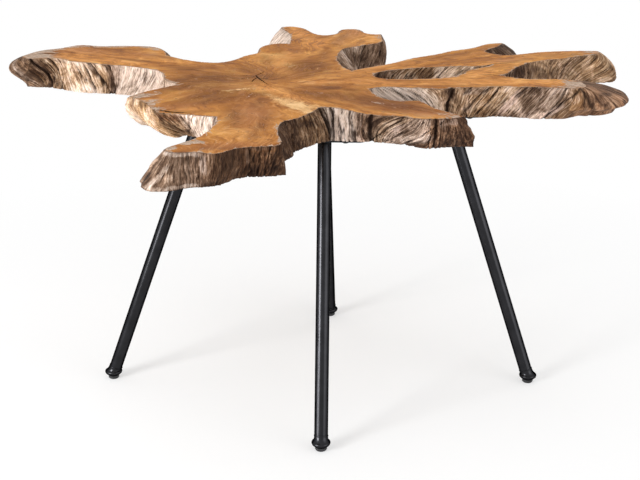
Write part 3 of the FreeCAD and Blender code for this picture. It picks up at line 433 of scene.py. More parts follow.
class Wall:
    """One closed wall of the slab, as arrays of rows, from the top down, by samples along it."""

    def __init__(self, stretches, offset):
        foot, belly, self.top = wall_curves(stretches)
        steps = np.linalg.norm(np.diff(self.top, axis=0), axis=1)
        self.walked = np.concatenate([[0], np.cumsum(steps)])
        self.length = self.walked[-1] + np.linalg.norm(self.top[0] - self.top[-1])
        self.offset = offset
        # Rows lie a little closer together towards the underside.
        h = 1 - np.linspace(0, 1, WALL_ROWS)[:, None] ** 0.92
        self.height = h
        self.z = THICK * h
        # A parabola through the three curves at each sample.
        self.points = np.zeros((WALL_ROWS, len(self.top), 3))
        for axis in (0, 1):
            self.points[..., axis] = (foot[:, axis] * (2 * (h - 0.5) * (h - 1))
                                      + belly[:, axis] * (4 * h * (1 - h))
                                      + self.top[:, axis] * (2 * h * (h - 0.5)))
        self.points[..., 2] = TOP - THICK + self.z
        # The relief moves points outward, in directions that change evenly along the wall.
        out = outward_of(self.points[WALL_ROWS // 2, :, :2], 3)
        self.out = unit(np.stack([smoothed(out[:, 0], 9), smoothed(out[:, 1], 9)], 1))
        placed = [(*self.nearest(x, y), looks) for x, y, *looks in WALL_LOOKS]
        self.keys = sorted((place, looks) for place, gap, looks in placed if gap < LOOK_REACH)

    def nearest(self, x, y):
        """Where along the wall a place on the rim is, and how far off the wall it lies."""
        gaps = np.linalg.norm(self.top - (x / 1000, y / 1000), axis=1)
        return self.walked[gaps.argmin()], gaps.min()

    def look(self, name, at):
        """One of the wall's looks at places along it."""
        column = LOOKS.index(name)
        values = [looks[column] / (1 if name == "lean" else 100) for _, looks in self.keys]
        return np.interp(at, [place for place, _ in self.keys], values, period=self.length)

    def beside(self, x, y, deep, tilt):
        """How far each point lies along the wall and above a place, or None on another wall."""
        place, gap = self.nearest(x, y)
        if gap > SPOT_REACH:
            return None
        rise = self.z - (THICK - deep / 1000)
        off = self.walked - place + rise * math.tan(math.radians(tilt))
        return (off + self.length / 2) % self.length - self.length / 2, rise

    def spot(self, x, y, deep, tall, wide, tilt, power, ragged=0.0):
        """A leaning spot, 1 in its middle and 0 away from it and on another wall."""
        found = self.beside(x, y, deep, tilt)
        if not found:
            return 0.0
        a = found[0] / (wide / 1000) + ragged
        b = found[1] / (tall / 1000) + ragged
        return np.exp(-(a ** power + b ** power))

    def creases(self):
        """How deep the creases cut into each point, metres."""
        cut = np.zeros(self.points.shape[:2])
        for x, y, tilt, width, depth in CREASES:
            found = self.beside(x, y, THICK * 500, tilt)
            if not found:
                continue
            off = found[0] + 0.0030 * ripples(self.z * 70 + x, found[0] * 30, 61)
            wide = width / 2000 * (1 + 0.8 * ripples(self.z * 60 + y, off * 20, 71))
            shape = np.exp(-(off / np.maximum(0.0006, wide)) ** 2 * 2)
            cut = np.maximum(cut, depth / 1000 * shape)
        return cut

    def carve(self):
        """Gives the points their relief, and returns their shades and fibre coordinates."""
        z = self.z
        # Places along the wall that follow its leaning fibres: u for its looks, w for its noise.
        lean = smoothed(np.tan(np.radians(self.look("lean", self.walked))), 15)
        u = self.walked + (z - THICK / 2) * lean
        u = u + 0.0022 * ripples(u * 25 + self.offset, z * 30, 11)
        w = self.offset + u
        flutes = self.look("flutes", u)
        # Noise from coarse to fine.
        lumps = ripples(w * 17, z * 15 + 4, 21)
        lines = veins(w * 115, z * 14, 31, 5.0)
        threads = veins(w * 270, z * 28, 41, 3.5)
        fine = ripples(w * 380, z * 50, 51)
        # How far each point moves out, metres.
        push = (0.0030 * lumps - 0.0022 * flutes * (lines - 0.25)
                - 0.0010 * flutes * (threads - 0.3) + 0.0007 * fine * (0.4 + flutes))
        for *where, move in SWELLS:
            push = push + move / 1000 * self.spot(*where, 6)
        cut = self.creases()
        # The relief is shallower close to the top.
        calm = 0.55 + 0.45 * np.minimum(1, (1 - self.height) * 5)
        self.points[..., :2] += self.out * ((push - cut) * calm)[..., None]

        # Painted shade in the grooves and creases (hollow), and a painted highlight on the ridges.
        groove = flutes * (0.85 * lines ** 1.5 + 0.45 * threads ** 2) - 0.35 * lumps - 0.3 * fine
        hollow = np.clip(0.05 + 0.8 * groove + cut * 170, 0, 1)
        painted_ridge_highlight = np.clip(0.35 * lumps + 0.5 * fine * flutes + 0.35 - groove, 0, 1)
        ragged = 0.45 * ripples(w * 130, z * 60, 81)
        tints = {name: self.look(name, u) for name in LOOKS[:4]}
        for name, marks in WALL_MARKS.items():
            for *where, amount in marks:
                strength = amount / 100 * self.spot(*where, 4, ragged)
                tints[name] = np.maximum(tints[name], strength)
        return np.stack([*tints.values(), painted_ridge_highlight, hollow], -1), np.stack([w, z + 0 * w], -1)


# The flat faces.
def inside(points, loops):
    """Whether each point is inside the outer loop and outside the holes (even-odd rule)."""
    odd = np.zeros(len(points), bool)
    for a in loops:
        b = np.roll(a, -1, axis=0)
        rise = np.where(b[:, 1] == a[:, 1], 1e-12, b[:, 1] - a[:, 1])
        # Batches save memory.
        for start in range(0, len(points), 2000):
            p = points[start:start + 2000]
            crosses = (a[None, :, 1] > p[:, None, 1]) != (b[None, :, 1] > p[:, None, 1])
            x = a[:, 0] + (p[:, None, 1] - a[:, 1]) / rise * (b[:, 0] - a[:, 0])
            odd[start:start + 2000] ^= (np.sum(crosses & (p[:, None, 0] < x), axis=1) % 2) == 1
    return odd


def crack_outline(line):
    """Middle line of a crack, wobbling a little, and its half widths, all in metres."""
    fine = [(x0 + (x1 - x0) * k / 8, y0 + (y1 - y0) * k / 8, w0 + (w1 - w0) * k / 8)
            for (x0, y0, w0), (x1, y1, w1) in zip(line, line[1:]) for k in range(8)]
    fine = np.array(fine + [line[-1]]) / 1000
    middle = fine[:, :2].copy()
    for axis in (0, 1):
        middle[1:-1, axis] += 0.0012 * ripples(fine[1:-1, 0] * 120, fine[1:-1, 1] * 120, 5 + axis)
    half = fine[:, 2] / 2 * (1.05 + 0.5 * ripples(fine[:, 0] * 400, fine[:, 1] * 400, 9))
    return middle, half


def closed_edges(first, count):
    """Edges of a closed ring of points, from the number of its first point."""
    return [(first + i, first + (i + 1) % count) for i in range(count)]


def scattered_grid(loops, borders, spacing):
    """Points about a spacing apart inside the loops, and clear of all the border points."""
    low, high = np.min(loops[0], 0), np.max(loops[0], 0)
    across, up = np.meshgrid(np.arange(low[0], high[0], spacing), np.arange(low[1], high[1], spacing))
    grid = np.stack([across.ravel(), up.ravel()], 1)
    whole = np.rint(grid / spacing).astype(np.int64).T
    grid += np.stack([scatter(whole, 3), scatter(whole, 4)], 1) * spacing * 0.2
    grid = grid[inside(grid, loops)]
    gap = (spacing * 0.35) ** 2
    return grid[np.array([np.min(np.sum((borders - p) ** 2, axis=1)) > gap for p in grid])]


def sheet(loops, height, spacing, cracks):
    """A flat face bounded by the loops, with inner points and the cracks cut into it.

    Returns points, triangles, and for each triangle whether it lies in a crack.
    """
    points = list(loops)
    drop = [np.zeros(len(loop)) for loop in loops]
    edges, outlines = [], []
    total = 0
    for loop in loops:
        edges += closed_edges(total, len(loop))
        total += len(loop)
    for line, depth in cracks:
        middle, half = crack_outline(line)
        way = unit(np.gradient(middle, axis=0))
        side = np.stack([-way[:, 1], way[:, 0]], 1) * half[:, None]
        ring = np.concatenate([middle + side, (middle - side)[::-1]])
        outlines.append(ring)
        inner = middle[1:-1]
        points += [ring, inner]
        drop += [np.zeros(len(ring)), depth / 1000 * np.minimum(1, half[1:-1] / 0.0006)]
        edges += closed_edges(total, len(ring))
        total += len(ring)
        edges += [(total + i, total + i + 1) for i in range(len(inner) - 1)]
        total += len(inner)
    borders = np.concatenate(points)
    grid = scattered_grid(loops, borders, spacing)
    drop = np.concatenate(drop + [np.zeros(len(grid))])
    everything = [Vector(p) for p in np.concatenate([borders, grid])]
    flat, _, faces, source, _, _ = geometry.delaunay_2d_cdt(everything, edges, [], 0, 1e-7)
    flat = np.array([tuple(p) for p in flat])
    depth = np.array([max([drop[k] for k in origin], default=0.0) for origin in source])
    free = np.array([any(k >= total for k in origin) for origin in source])
    faces = np.array(faces)
    kept = free[faces].any(axis=1)
    kept[~kept] = inside(flat[faces[~kept]].mean(axis=1), loops)
    faces = faces[kept]
    centres = flat[faces].mean(axis=1)
    cracked = np.zeros(len(faces), bool)
    for ring in outlines:
        cracked |= inside(centres, [ring])
    return np.column_stack([flat, height - depth]), faces, cracked


# Materials made of nodes.
class Nodes:
    """Adds shader nodes to a material or to the world, and links them."""

    def __init__(self, owner):
        self.owner = owner
        owner.use_nodes = True
        self.tree = owner.node_tree
        self.tree.nodes.clear()

    def put(self, node, socket, value):
        """Links an input to a socket, or sets it to a value."""
        if isinstance(value, bpy.types.NodeSocket):
            self.tree.links.new(value, node.inputs[socket])
        else:
            node.inputs[socket].default_value = value

    def add(self, kind, **settings):
        """A node. _name sets a property, i0 the first input, and Some_Name an input by name."""
        node = self.tree.nodes.new(kind)
        for key, value in settings.items():
            if key.startswith("_"):
                setattr(node, key[1:], value)
            else:
                self.put(node, int(key[1:]) if key[1:].isdigit() else key.replace("_", " "), value)
        return node

    def place(self):
        """Places in the object, metres."""
        return self.add("ShaderNodeTexCoord").outputs["Object"]

    def attribute(self, name):
        return self.add("ShaderNodeAttribute", _attribute_name=name).outputs["Fac"]

    def math(self, how, a, b=0.0, clamp=False):
        return self.add("ShaderNodeMath", _operation=how, _use_clamp=clamp, i0=a, i1=b).outputs[0]

    def vector(self, how, a, b, c=(0, 0, 0)):
        return self.add("ShaderNodeVectorMath", _operation=how, i0=a, i1=b, i2=c).outputs[0]

    def length(self, a):
        return self.add("ShaderNodeVectorMath", _operation="LENGTH", i0=a).outputs[1]

    def scaled(self, vector, scale):
        return self.add("ShaderNodeMapping", Vector=vector, Scale=scale).outputs[0]

    def centred(self, value):
        return self.math("SUBTRACT", value, 0.5)

    def total(self, *terms):
        """The sum of values times their weights."""
        parts = [self.math("MULTIPLY", value, weight) for value, weight in terms]
        result = parts[0]
        for part in parts[1:]:
            result = self.math("ADD", result, part)
        return result

    def span(self, value, low, high, to_low=0.0, to_high=1.0):
        """A value brought from one range to another, and kept within it."""
        return self.add("ShaderNodeMapRange", Value=value, From_Min=low, From_Max=high,
                        To_Min=to_low, To_Max=to_high).outputs[0]

    def blend(self, factor, a, b):
        """A number between two others."""
        return self.add("ShaderNodeMix", _data_type="FLOAT", i0=factor, i2=a, i3=b).outputs[0]

    def mix(self, factor, a, b, how="MIX"):
        """A colour between two others."""
        return self.add("ShaderNodeMix", _data_type="RGBA", _blend_type=how, i0=factor, i6=a,
                        i7=b).outputs[2]

    def tinted(self, colour, *by):
        """A colour times another."""
        return self.mix(1.0, colour, (*by, 1), "MULTIPLY")

    def noise(self, vector, scale, detail=4.0, rough=0.55, distort=0.0):
        return self.add("ShaderNodeTexNoise", Vector=vector, Scale=scale, Detail=detail,
                        Roughness=rough, Distortion=distort).outputs[0]

    def ramp(self, value, *stops):
        """Colours that follow a value, with a stop at each place."""
        node = self.add("ShaderNodeValToRGB", Fac=value)
        band = node.color_ramp
        while len(band.elements) < len(stops):
            band.elements.new(0.5)
        for element, (place, colour) in zip(band.elements, stops):
            element.position = place
            element.color = colour if len(colour) == 4 else (*colour, 1)
        return node.outputs[0]

    def shades(self, value, *stops):
        """A ramp whose stops are a place and three screen shades."""
        return self.ramp(value, *[(place, srgb(*shade)) for place, *shade in stops])

    def relief(self, *layers):
        """Bumps over each other, each a height, a strength and a distance in metres."""
        normal = None
        for height, strength, distance in layers:
            node = self.add("ShaderNodeBump", Height=height, Strength=strength, Distance=distance)
            if normal is not None:
                self.put(node, "Normal", normal)
            normal = node.outputs[0]
        return normal

    def surface(self, **inputs):
        """Ends a material with one principled shader."""
        shader = self.add("ShaderNodeBsdfPrincipled", **inputs)
        self.add("ShaderNodeOutputMaterial", Surface=shader.outputs[0])
        return self.owner


def new_material(name):
    return Nodes(bpy.data.materials.new(name))


def grey(v):
    return (v, v, v, 1)


def srgb(*shades):
    """Linear colour of shades given from 0 to 255 as a screen shows them."""
    return tuple((c / 255 / 12.92) if c < 10.3 else ((c / 255 + 0.055) / 1.055) ** 2.4
                 for c in shades) + (1,)


WEATHERED = ((0.16, 56, 39, 29), (0.33, 100, 75, 58), (0.50, 146, 117, 95), (0.67, 184, 156, 134),
             (0.86, 224, 201, 182))


def oiled_top():
    """Sanded and oiled cross-cut: grain that streams out from the heart, mottled orange brown."""
    n = new_material("oiled_root_top")
    place = n.place()
    wobble = n.add("ShaderNodeTexNoise", Vector=place, Scale=6.0, Detail=4.0).outputs["Color"]
    wobble_centre = 0.08
    shifted = n.vector("MULTIPLY_ADD", wobble, (2 * wobble_centre, 2 * wobble_centre, 0), place)
    heart = (HEART[0] + SHIFT[0] + wobble_centre, HEART[1] + SHIFT[1] + wobble_centre, TOP)
    flat = n.vector("MULTIPLY", n.vector("SUBTRACT", shifted, heart), (1, 1, 0))
    far = n.length(flat)
    way = n.vector("NORMALIZE", flat, (0, 0, 0))

    def streaks(around, along, detail, rough, distort=0.0):
        spoke = n.vector("MULTIPLY", way, (around, around, around))
        lift = n.add("ShaderNodeCombineXYZ", Z=n.math("MULTIPLY", far, along)).outputs[0]
        return n.noise(n.vector("ADD", spoke, lift), 1.0, detail, rough, distort)

    def grain(inner, outer, *looks):
        """Streaks out from the heart, with more of them further out, so that none gets wide."""
        return n.blend(outside, streaks(*inner, *looks), streaks(*outer, *looks))

    outside = n.span(far, 0.10, 0.30)
    broad = n.span(grain((4.0, 12.0), (11.0, 8.0), 4.0, 0.6, 0.8), 0.36, 0.64)
    fine = n.span(grain((20.0, 30.0), (60.0, 18.0), 4.0, 0.65, 0.3), 0.36, 0.64)
    hair = grain((60.0, 70.0), (190.0, 40.0), 3.0, 0.7)
    cloud = n.span(n.noise(place, 9.0, 3.0, 0.55, 0.6), 0.36, 0.64)
    patch = n.span(n.noise(place, 30.0, 5.0, 0.65, 1.2), 0.34, 0.66)
    tone = n.total((broad, 0.30), (fine, 0.26), (cloud, 0.20), (patch, 0.24))
    colour = n.shades(tone, (0.20, 130, 75, 27), (0.36, 162, 100, 39), (0.52, 188, 123, 55),
                      (0.68, 211, 147, 73), (0.82, 236, 180, 110))
    uneven = n.total((n.centred(fine), 0.60), (n.centred(patch), 0.50))

    def mark(name, strength):
        """Where a mark is, with an uneven border."""
        value = n.attribute(name)
        border = n.math("MULTIPLY", uneven, n.span(value, 0.0, 0.15))
        return n.math("MULTIPLY", n.span(n.math("ADD", value, border), 0.10, 0.80), strength)

    gold = n.shades(tone, (0.16, 188, 120, 54), (0.5, 219, 148, 76), (0.84, 240, 180, 110))
    red = n.shades(tone, (0.16, 134, 80, 44), (0.5, 176, 114, 68), (0.84, 212, 156, 110))
    pale = n.shades(tone, (0.16, 208, 154, 92), (0.6, 242, 198, 140), (0.84, 252, 222, 176))
    colour = n.mix(mark("gold", 0.85), colour, gold)
    colour = n.mix(mark("red", 0.80), colour, red)
    colour = n.mix(mark("dark", 0.95), colour, n.tinted(colour, 0.44, 0.37, 0.27))
    colour = n.mix(mark("pale", 0.95), colour, pale)
    colour = n.mix(n.span(hair, 0.56, 0.70, 0.0, 0.55), colour, n.tinted(colour, 0.50, 0.44, 0.40))
    colour = n.mix(n.span(hair, 0.44, 0.30, 0.0, 0.40), colour, srgb(232, 184, 128))
    specks = n.span(n.noise(place, 130.0, 2.0, 0.5), 0.66, 0.72, 0.0, 0.5)
    colour = n.mix(specks, colour, srgb(96, 56, 30))
    grit = n.noise(place, 420.0, 3.0, 0.65)
    coarse = n.noise(place, 140.0, 4.0, 0.65, 0.6)
    worn = n.total((n.span(grit, 0.34, 0.66), 0.45), (n.span(coarse, 0.34, 0.66), 0.55))
    ragged = n.total((n.centred(fine), 0.9), (n.centred(coarse), 0.9))
    raw = n.span(n.math("ADD", n.attribute("raw"), ragged), 0.42, 0.70)
    colour = n.mix(raw, colour, n.mix(0.45, n.shades(worn, *WEATHERED), srgb(222, 198, 178)))
    rough = n.blend(raw, n.span(fine, 0.0, 1.0, 0.42, 0.60), 0.85)
    relief = n.relief((fine, 0.10, 0.0012), (hair, 0.14, 0.0006),
                      (n.math("MULTIPLY", worn, raw), 0.5, 0.0016))
    return n.surface(Base_Color=colour, Roughness=rough, Normal=relief, Specular_IOR_Level=0.03)


def raw_wall():
    """Weathered live edge: bleached, grey-brown, reddish and golden fibres, with painted shade in
    the grooves and a painted highlight on the ridges.
    """
    n = new_material("weathered_live_edge")
    fibre = n.add("ShaderNodeUVMap", _uv_map="fibre").outputs[0]

    def strands(across, up, detail, rough, distort=0.0):
        vector = n.scaled(fibre, (across, up, 1))
        return n.span(n.noise(vector, 1.0, detail, rough, distort), 0.32, 0.68)

    coarse = strands(150.0, 22.0, 4.0, 0.62, 0.8)
    thin = strands(440.0, 60.0, 4.0, 0.68, 0.7)
    hair = strands(850.0, 150.0, 3.0, 0.65, 0.4)
    blot = n.span(n.noise(n.place(), 34.0, 5.0, 0.62, 0.8), 0.34, 0.66)
    tone = n.total((coarse, 0.22), (thin, 0.38), (hair, 0.24), (blot, 0.16))
    swing = n.total((n.centred(blot), 0.5), (n.centred(thin), 0.25))

    def look(name, low, high, reach, sign=1.0):
        """Where a tint is, with an uneven border."""
        value = n.math("ADD", n.attribute(name), n.math("MULTIPLY", swing, sign))
        return n.span(value, low, high, 0.0, reach)

    tan = n.shades(tone, (0.16, 104, 72, 44), (0.36, 162, 118, 78), (0.56, 212, 170, 124),
                   (0.80, 248, 220, 182))
    bleached = n.shades(tone, (0.16, 146, 118, 100), (0.34, 200, 174, 154), (0.54, 230, 208, 192),
                        (0.76, 250, 236, 224))
    colour = n.mix(look("gold", 0.10, 0.80, 0.9), n.shades(tone, *WEATHERED), tan)
    colour = n.mix(look("pale", 0.38, 0.95, 1.0), colour, bleached)
    colour = n.mix(look("red", 0.05, 1.0, 0.75), colour, n.tinted(colour, 0.98, 0.74, 0.66))
    # Dark: darker wood, and in places painted shade.
    colour = n.mix(look("dark", 0.15, 1.0, 1.0, -1.0), colour, n.tinted(colour, 0.24, 0.185, 0.145))
    # Painted highlight on the ridges, carried in the raw shade.
    painted_ridge_highlight = n.span(n.attribute("raw"), 0.35, 0.85, 0.0, 0.55)
    colour = n.mix(painted_ridge_highlight, colour, n.tinted(colour, 1.75, 1.80, 1.85))
    # Painted shade in the grooves and creases.
    hollow = n.math("ADD", n.attribute("hollow"), n.math("MULTIPLY", n.centred(thin), -0.3))
    colour = n.mix(n.span(hollow, 0.30, 0.95, 0.0, 0.92), colour, srgb(42, 25, 16))
    relief = n.relief((coarse, 0.45, 0.0050), (thin, 0.60, 0.0030), (hair, 0.40, 0.0010))
    return n.surface(Base_Color=colour, Roughness=n.span(thin, 0.0, 1.0, 0.60, 0.85),
                     Normal=relief, Specular_IOR_Level=0.14)


def sawn_underside():
    """Chainsawn and planed underside: dull brown with arcs from the saw."""
    n = new_material("sawn_underside")
    place = n.place()
    marks = n.add("ShaderNodeTexWave", Vector=place, Scale=34.0, Distortion=3.0, Detail=3.0,
                  _bands_direction="DIAGONAL").outputs[1]
    grain = n.noise(place, 160.0, 3.0, 0.6)
    tone = n.total((n.noise(place, 9.0, 5.0, 0.6), 0.7), (grain, 0.3))
    colour = n.ramp(tone, (0.35, (0.20, 0.125, 0.070)), (0.50, (0.36, 0.24, 0.140)),
                    (0.65, (0.50, 0.36, 0.230)))
    colour = n.mix(n.span(marks, 0.0, 0.3, 0.25, 0.0), colour, (0.14, 0.085, 0.05, 1))
    return n.surface(Base_Color=colour, Roughness=n.span(grain, 0.3, 0.7, 0.75, 0.9),
                     Normal=n.relief((grain, 0.25, 0.0008), (marks, 0.25, 0.0012)),
                     Specular_IOR_Level=0.2)


def crack_wood():
    """The inside of a drying crack, coloured near black as painted shade."""
    n = new_material("drying_crack_painted_shade")
    colour = n.ramp(n.noise(n.place(), 300.0, 3.0), (0.35, (0.025, 0.012, 0.006)),
                    (0.7, (0.09, 0.04, 0.018)))
    return n.surface(Base_Color=colour, Roughness=0.9, Specular_IOR_Level=0.1)


def blackened_steel():
    """Smooth blackened steel: a dark satin metal whose edges stay dark."""
    n = new_material("blackened_steel")
    place = n.place()
    wear = n.noise(place, 45.0, 4.0, 0.6)
    colour = n.ramp(wear, (0.35, (0.024, 0.024, 0.026)), (0.65, (0.032, 0.032, 0.035)))
    return n.surface(Base_Color=colour, Roughness=n.span(wear, 0.3, 0.7, 0.22, 0.28),
                     Normal=n.relief((n.noise(place, 500.0, 2.0, 0.5), 0.03, 0.0001)),
                     Metallic=1.0, Specular_Tint=grey(0.0))


def satin_black(name, base, rough, grit):
    """Oxide or plastic with a faint orange-peel and small differences in gloss."""
    n = new_material(name)
    place = n.place()
    wear = n.noise(place, 45.0, 4.0, 0.6)
    worn = [min(1, c * 1.55 + 0.003) for c in base[:3]] + [1]
    return n.surface(Base_Color=n.mix(n.span(wear, 0.35, 0.70), base, worn),
                     Roughness=n.span(wear, 0.3, 0.7, rough - 0.05, rough + 0.06),
                     Normal=n.relief((n.noise(place, 900.0, 2.0, 0.5), grit, 0.0003)),
                     Specular_IOR_Level=0.34)


def plated():
    """Zinc-plated steel with fine turning marks."""
    n = new_material("zinc_plated_steel")
    place = n.place()
    marks = n.noise(n.scaled(place, (60, 60, 2400)), 1.0, 3.0, 0.6)
    colour = n.ramp(n.noise(place, 260.0, 3.0, 0.6), (0.3, (0.48, 0.48, 0.47)),
                    (0.7, (0.66, 0.66, 0.64)))
    return n.surface(Base_Color=colour, Roughness=n.span(marks, 0.3, 0.7, 0.28, 0.42),
                     Normal=n.relief((marks, 0.15, 0.0002)), Metallic=1.0)


# Where things stand in the frame.
def foot_place(x, y, azimuth):
    """Where a leg stands on the floor, before the frame centres the table."""
    reach = (TOP - THICK - KNEE) * math.tan(SPLAY)
    turn = math.radians(azimuth)
    return Vector((x * LENGTH + reach * math.cos(turn), y * WIDTH + reach * math.sin(turn), 0))


noise.seed_set(7)
slab_low, slab_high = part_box("root_slab")
# How far the frame moves the table to centre it, read off the insert in the front foot.
insert_low, insert_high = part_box("threaded_insert_front")
SHIFT = (insert_low + insert_high) / 2 - foot_place(*LEGS[1][1:])
SHIFT.z = 0


def new_object(name, data):
    """An object in the scene for a mesh, a lamp or a camera."""
    obj = bpy.data.objects.new(name, data)
    bpy.context.scene.collection.objects.link(obj)
    return obj


# The slab.
class Surface:
    """Points with shades and fibre coordinates, and faces with materials, for one mesh."""

    def __init__(self):
        self.points, self.shades, self.fibres = [], [], []
        self.faces, self.kinds = [], []

    def add(self, points, shades, fibres):
        """Adds points and gives the number of the first."""
        first = len(self.points)
        self.points.extend(points.tolist())
        self.shades.extend(shades.tolist())
        self.fibres.extend(fibres.tolist())
        return first

    def band(self, lower, upper, count, kind):
        """Faces between two closed loops of equal length, from the numbers of their firsts."""
        for i in range(count):
            j = (i + 1) % count
            self.faces.append((lower + i, lower + j, upper + j, upper + i))
            self.kinds.append(kind)

    def cover(self, points, triangles, numbers, kinds, upward):
        """Triangles of a flat face, turned so that they all face up or all face down."""
        for triangle, kind in zip(triangles, kinds):
            a, b, c = [points[k] for k in triangle]
            up = (b[0] - a[0]) * (c[1] - a[1]) - (b[1] - a[1]) * (c[0] - a[0])
            if (up > 0) != upward:
                triangle = triangle[::-1]
            self.faces.append(tuple(numbers[k] for k in triangle))
            self.kinds.append(kind)

    def mesh(self, name):
        """The mesh, moved to where the frame has the slab and kept within its box."""
        mesh = bpy.data.meshes.new(name)
        place = np.array(self.points)
        place[:, :2] += (SHIFT.x, SHIFT.y)
        place[:, 0] = np.clip(place[:, 0], slab_low.x, slab_high.x)
        place[:, 1] = np.clip(place[:, 1], slab_low.y, slab_high.y)
        mesh.from_pydata(place.tolist(), [], self.faces)
        mesh.update()
        shades = np.array(self.shades, np.float32)
        for column, shade in enumerate(SHADES):
            layer = mesh.attributes.new(shade, "FLOAT", "POINT")
            layer.data.foreach_set("value", np.ascontiguousarray(shades[:, column]))
        corners = np.empty(len(mesh.loops), int)
        mesh.loops.foreach_get("vertex_index", corners)
        fibres = np.array(self.fibres)[corners].astype(np.float32)
        mesh.uv_layers.new(name="fibre").data.foreach_set("uv", fibres.ravel())
        mesh.polygons.foreach_set("material_index", np.array(self.kinds, np.int32))
        mesh.polygons.foreach_set("use_smooth", np.array(self.kinds) == WALL)
        return mesh


def top_shades(points, border):
    """Shades of the sanded face: raw close to its border, and the marks on it."""
    near = np.zeros(len(points))
    # Batches save memory, and every third point of the border is close enough.
    for start in range(0, len(points), 500):
        gap = points[start:start + 500, None, :2] - border[None, ::3]
        near[start:start + 500] = np.sqrt(np.min(np.sum(gap ** 2, axis=2), axis=1))
    shades = np.zeros((len(points), len(SHADES)))
    # Raw wood on the top; on the arris, which has the walls' material, this makes a painted highlight.
    shades[:, SHADES.index("raw")] = np.clip(0.80 - near / RAW_EDGE, 0, 0.75)
    # This painted shade shows only on the arris, because it has the walls' material.
    shades[:, SHADES.index("hollow")] = np.clip(near / HOLLOW_EDGE, 0, 1)
    for name, marks in TOP_MARKS.items():
        column = SHADES.index(name)
        for x, y, long, wide, turn, amount in marks:
            c, s = math.cos(math.radians(turn)), math.sin(math.radians(turn))
            dx, dy = points[:, 0] - x / 1000, points[:, 1] - y / 1000
            a, b = (dx * c + dy * s) / (long / 1000), (dy * c - dx * s) / (wide / 1000)
            strength = amount / 100 * np.exp(-(a * a + b * b))
            shades[:, column] = np.maximum(shades[:, column], strength)
    return shades


def add_top(slab, loops):
    """The sanded face with its cracks, and the arris that joins it to the walls."""
    rims = [rim for rim, _ in loops]
    points, triangles, cracked = sheet(rims, TOP - ARRIS_INNER, TOP_STEP, CRACKS)
    first = slab.add(points, top_shades(points, np.concatenate(rims)), points[:, :2])
    numbers = range(first, first + len(points))
    slab.cover(points, triangles, numbers, np.where(cracked, CRACKED, OILED), True)
    for rim, wall_first in loops:
        slab.band(first, wall_first, len(rim), WALL)
        first += len(rim)


def add_underside(slab, loops):
    """The sawn face, which shares the walls' lowest points, so that no gap is left there."""
    points, triangles, _ = sheet([rim for rim, _ in loops], TOP - THICK, UNDER_STEP, ())
    shared = [first + i for rim, first in loops for i in range(len(rim))]
    inner = points[len(shared):]
    first = slab.add(inner, np.zeros((len(inner), len(SHADES))), inner[:, :2])
    numbers = shared + list(range(first, first + len(inner)))
    slab.cover(points, triangles, numbers, [SAWN] * len(triangles), False)


def build_slab():
    """Both walls, the top and the underside, as one object that replaces the plain slab."""
    slab = Surface()
    top_loops, low_loops = [], []
    for wall in (Wall(RIM, 0.0), Wall(SLOT, 20.0)):
        shades, fibres = wall.carve()
        wall.points[0, :, 2] = TOP - ARRIS_OUTER
        rows, count, _ = wall.points.shape
        first = slab.add(wall.points.reshape(-1, 3), shades.reshape(-1, len(SHADES)),
                         fibres.reshape(-1, 2))
        for row in range(rows - 1):
            slab.band(first + row * count, first + (row + 1) * count, count, WALL)
        rim = wall.points[0, :, :2]
        top_loops.append((rim - unit(outward_of(rim)) * ARRIS, first))
        low_loops.append((wall.points[-1, :, :2], first + (rows - 1) * count))
    add_top(slab, top_loops)
    add_underside(slab, low_loops)
    mesh = slab.mesh("root_slab_live_edge")
    for material in (oiled_top(), raw_wall(), sawn_underside(), crack_wood()):
        mesh.materials.append(material)
    obj = new_object("root_slab_live_edge", mesh)
    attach(obj, "table")
    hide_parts("root_slab")


build_slab()


# Legs, feet and hardware.
BLACK = blackened_steel()
OXIDE = satin_black("black_oxide_screws", (0.020, 0.019, 0.018, 1), 0.42, 0.20)
PLASTIC = satin_black("black_glide_plastic", (0.018, 0.018, 0.019, 1), 0.55, 0.30)
ZINC = plated()
AXIS = Vector((-math.sin(SPLAY), 0, math.cos(SPLAY)))
TILT = Matrix.Rotation(-SPLAY, 3, "Y")
KNEE_POINT = Vector((0, 0, KNEE))

# Sizes of the feet, studs and welds, metres.
FOOT_SEAT = ((0.0052, 0.0047), (0.0052, 0.0084), (0.0055, 0.0088))
FLARE_LOW, FLARE_RADIUS, FLARE_TALL, FLARE_WIDE = 0.0057, 0.0089, 0.0033, 0.0036
RING_HEIGHT, RING_RADIUS, RING_ROUND = 0.0112, 0.0107, 0.0024
NECK_HEIGHT, NECK_RADIUS, NECK_HOLLOW = 0.0135, 0.0114, 0.0010
COLLAR = ((0.0125, 0.01022), (0.0129, 0.0099), (0.0129, 0.0096))
STUD_RADIUS, STUD_PITCH, STUD_LOW, STUD_HIGH, STUD_GROOVE = 0.003, 0.001, 0.0016, 0.0187, 0.00045
STUD_TAPER, STUD_TIP = 0.0008, 0.0009
WELD_RADIUS, WELD_OUT, WELD_UNDER = 0.0019, 0.0006, 0.0012


def leg_matrix(x, y, azimuth):
    """From a leg's own frame, on the floor under its foot, to the table's."""
    foot = foot_place(x, y, azimuth) + SHIFT
    return Matrix.Translation(foot) @ Matrix.Rotation(math.radians(azimuth), 4, "Z")


def rings(name, loops, closed_ends=True):
    """A mesh skinned over loops of equal length."""
    count = len(loops[0])
    verts = [tuple(p) for loop in loops for p in loop]
    faces = [(r * count + i, r * count + (i + 1) % count, (r + 1) * count + (i + 1) % count,
              (r + 1) * count + i) for r in range(len(loops) - 1) for i in range(count)]
    if closed_ends:
        faces.append(tuple(reversed(range(count))))
        faces.append(tuple(range((len(loops) - 1) * count, len(loops) * count)))
    mesh = bpy.data.meshes.new(name)
    mesh.from_pydata(verts, [], faces)
    mesh.polygons.foreach_set("use_smooth", [True] * len(mesh.polygons))
    mesh.update()
    return mesh


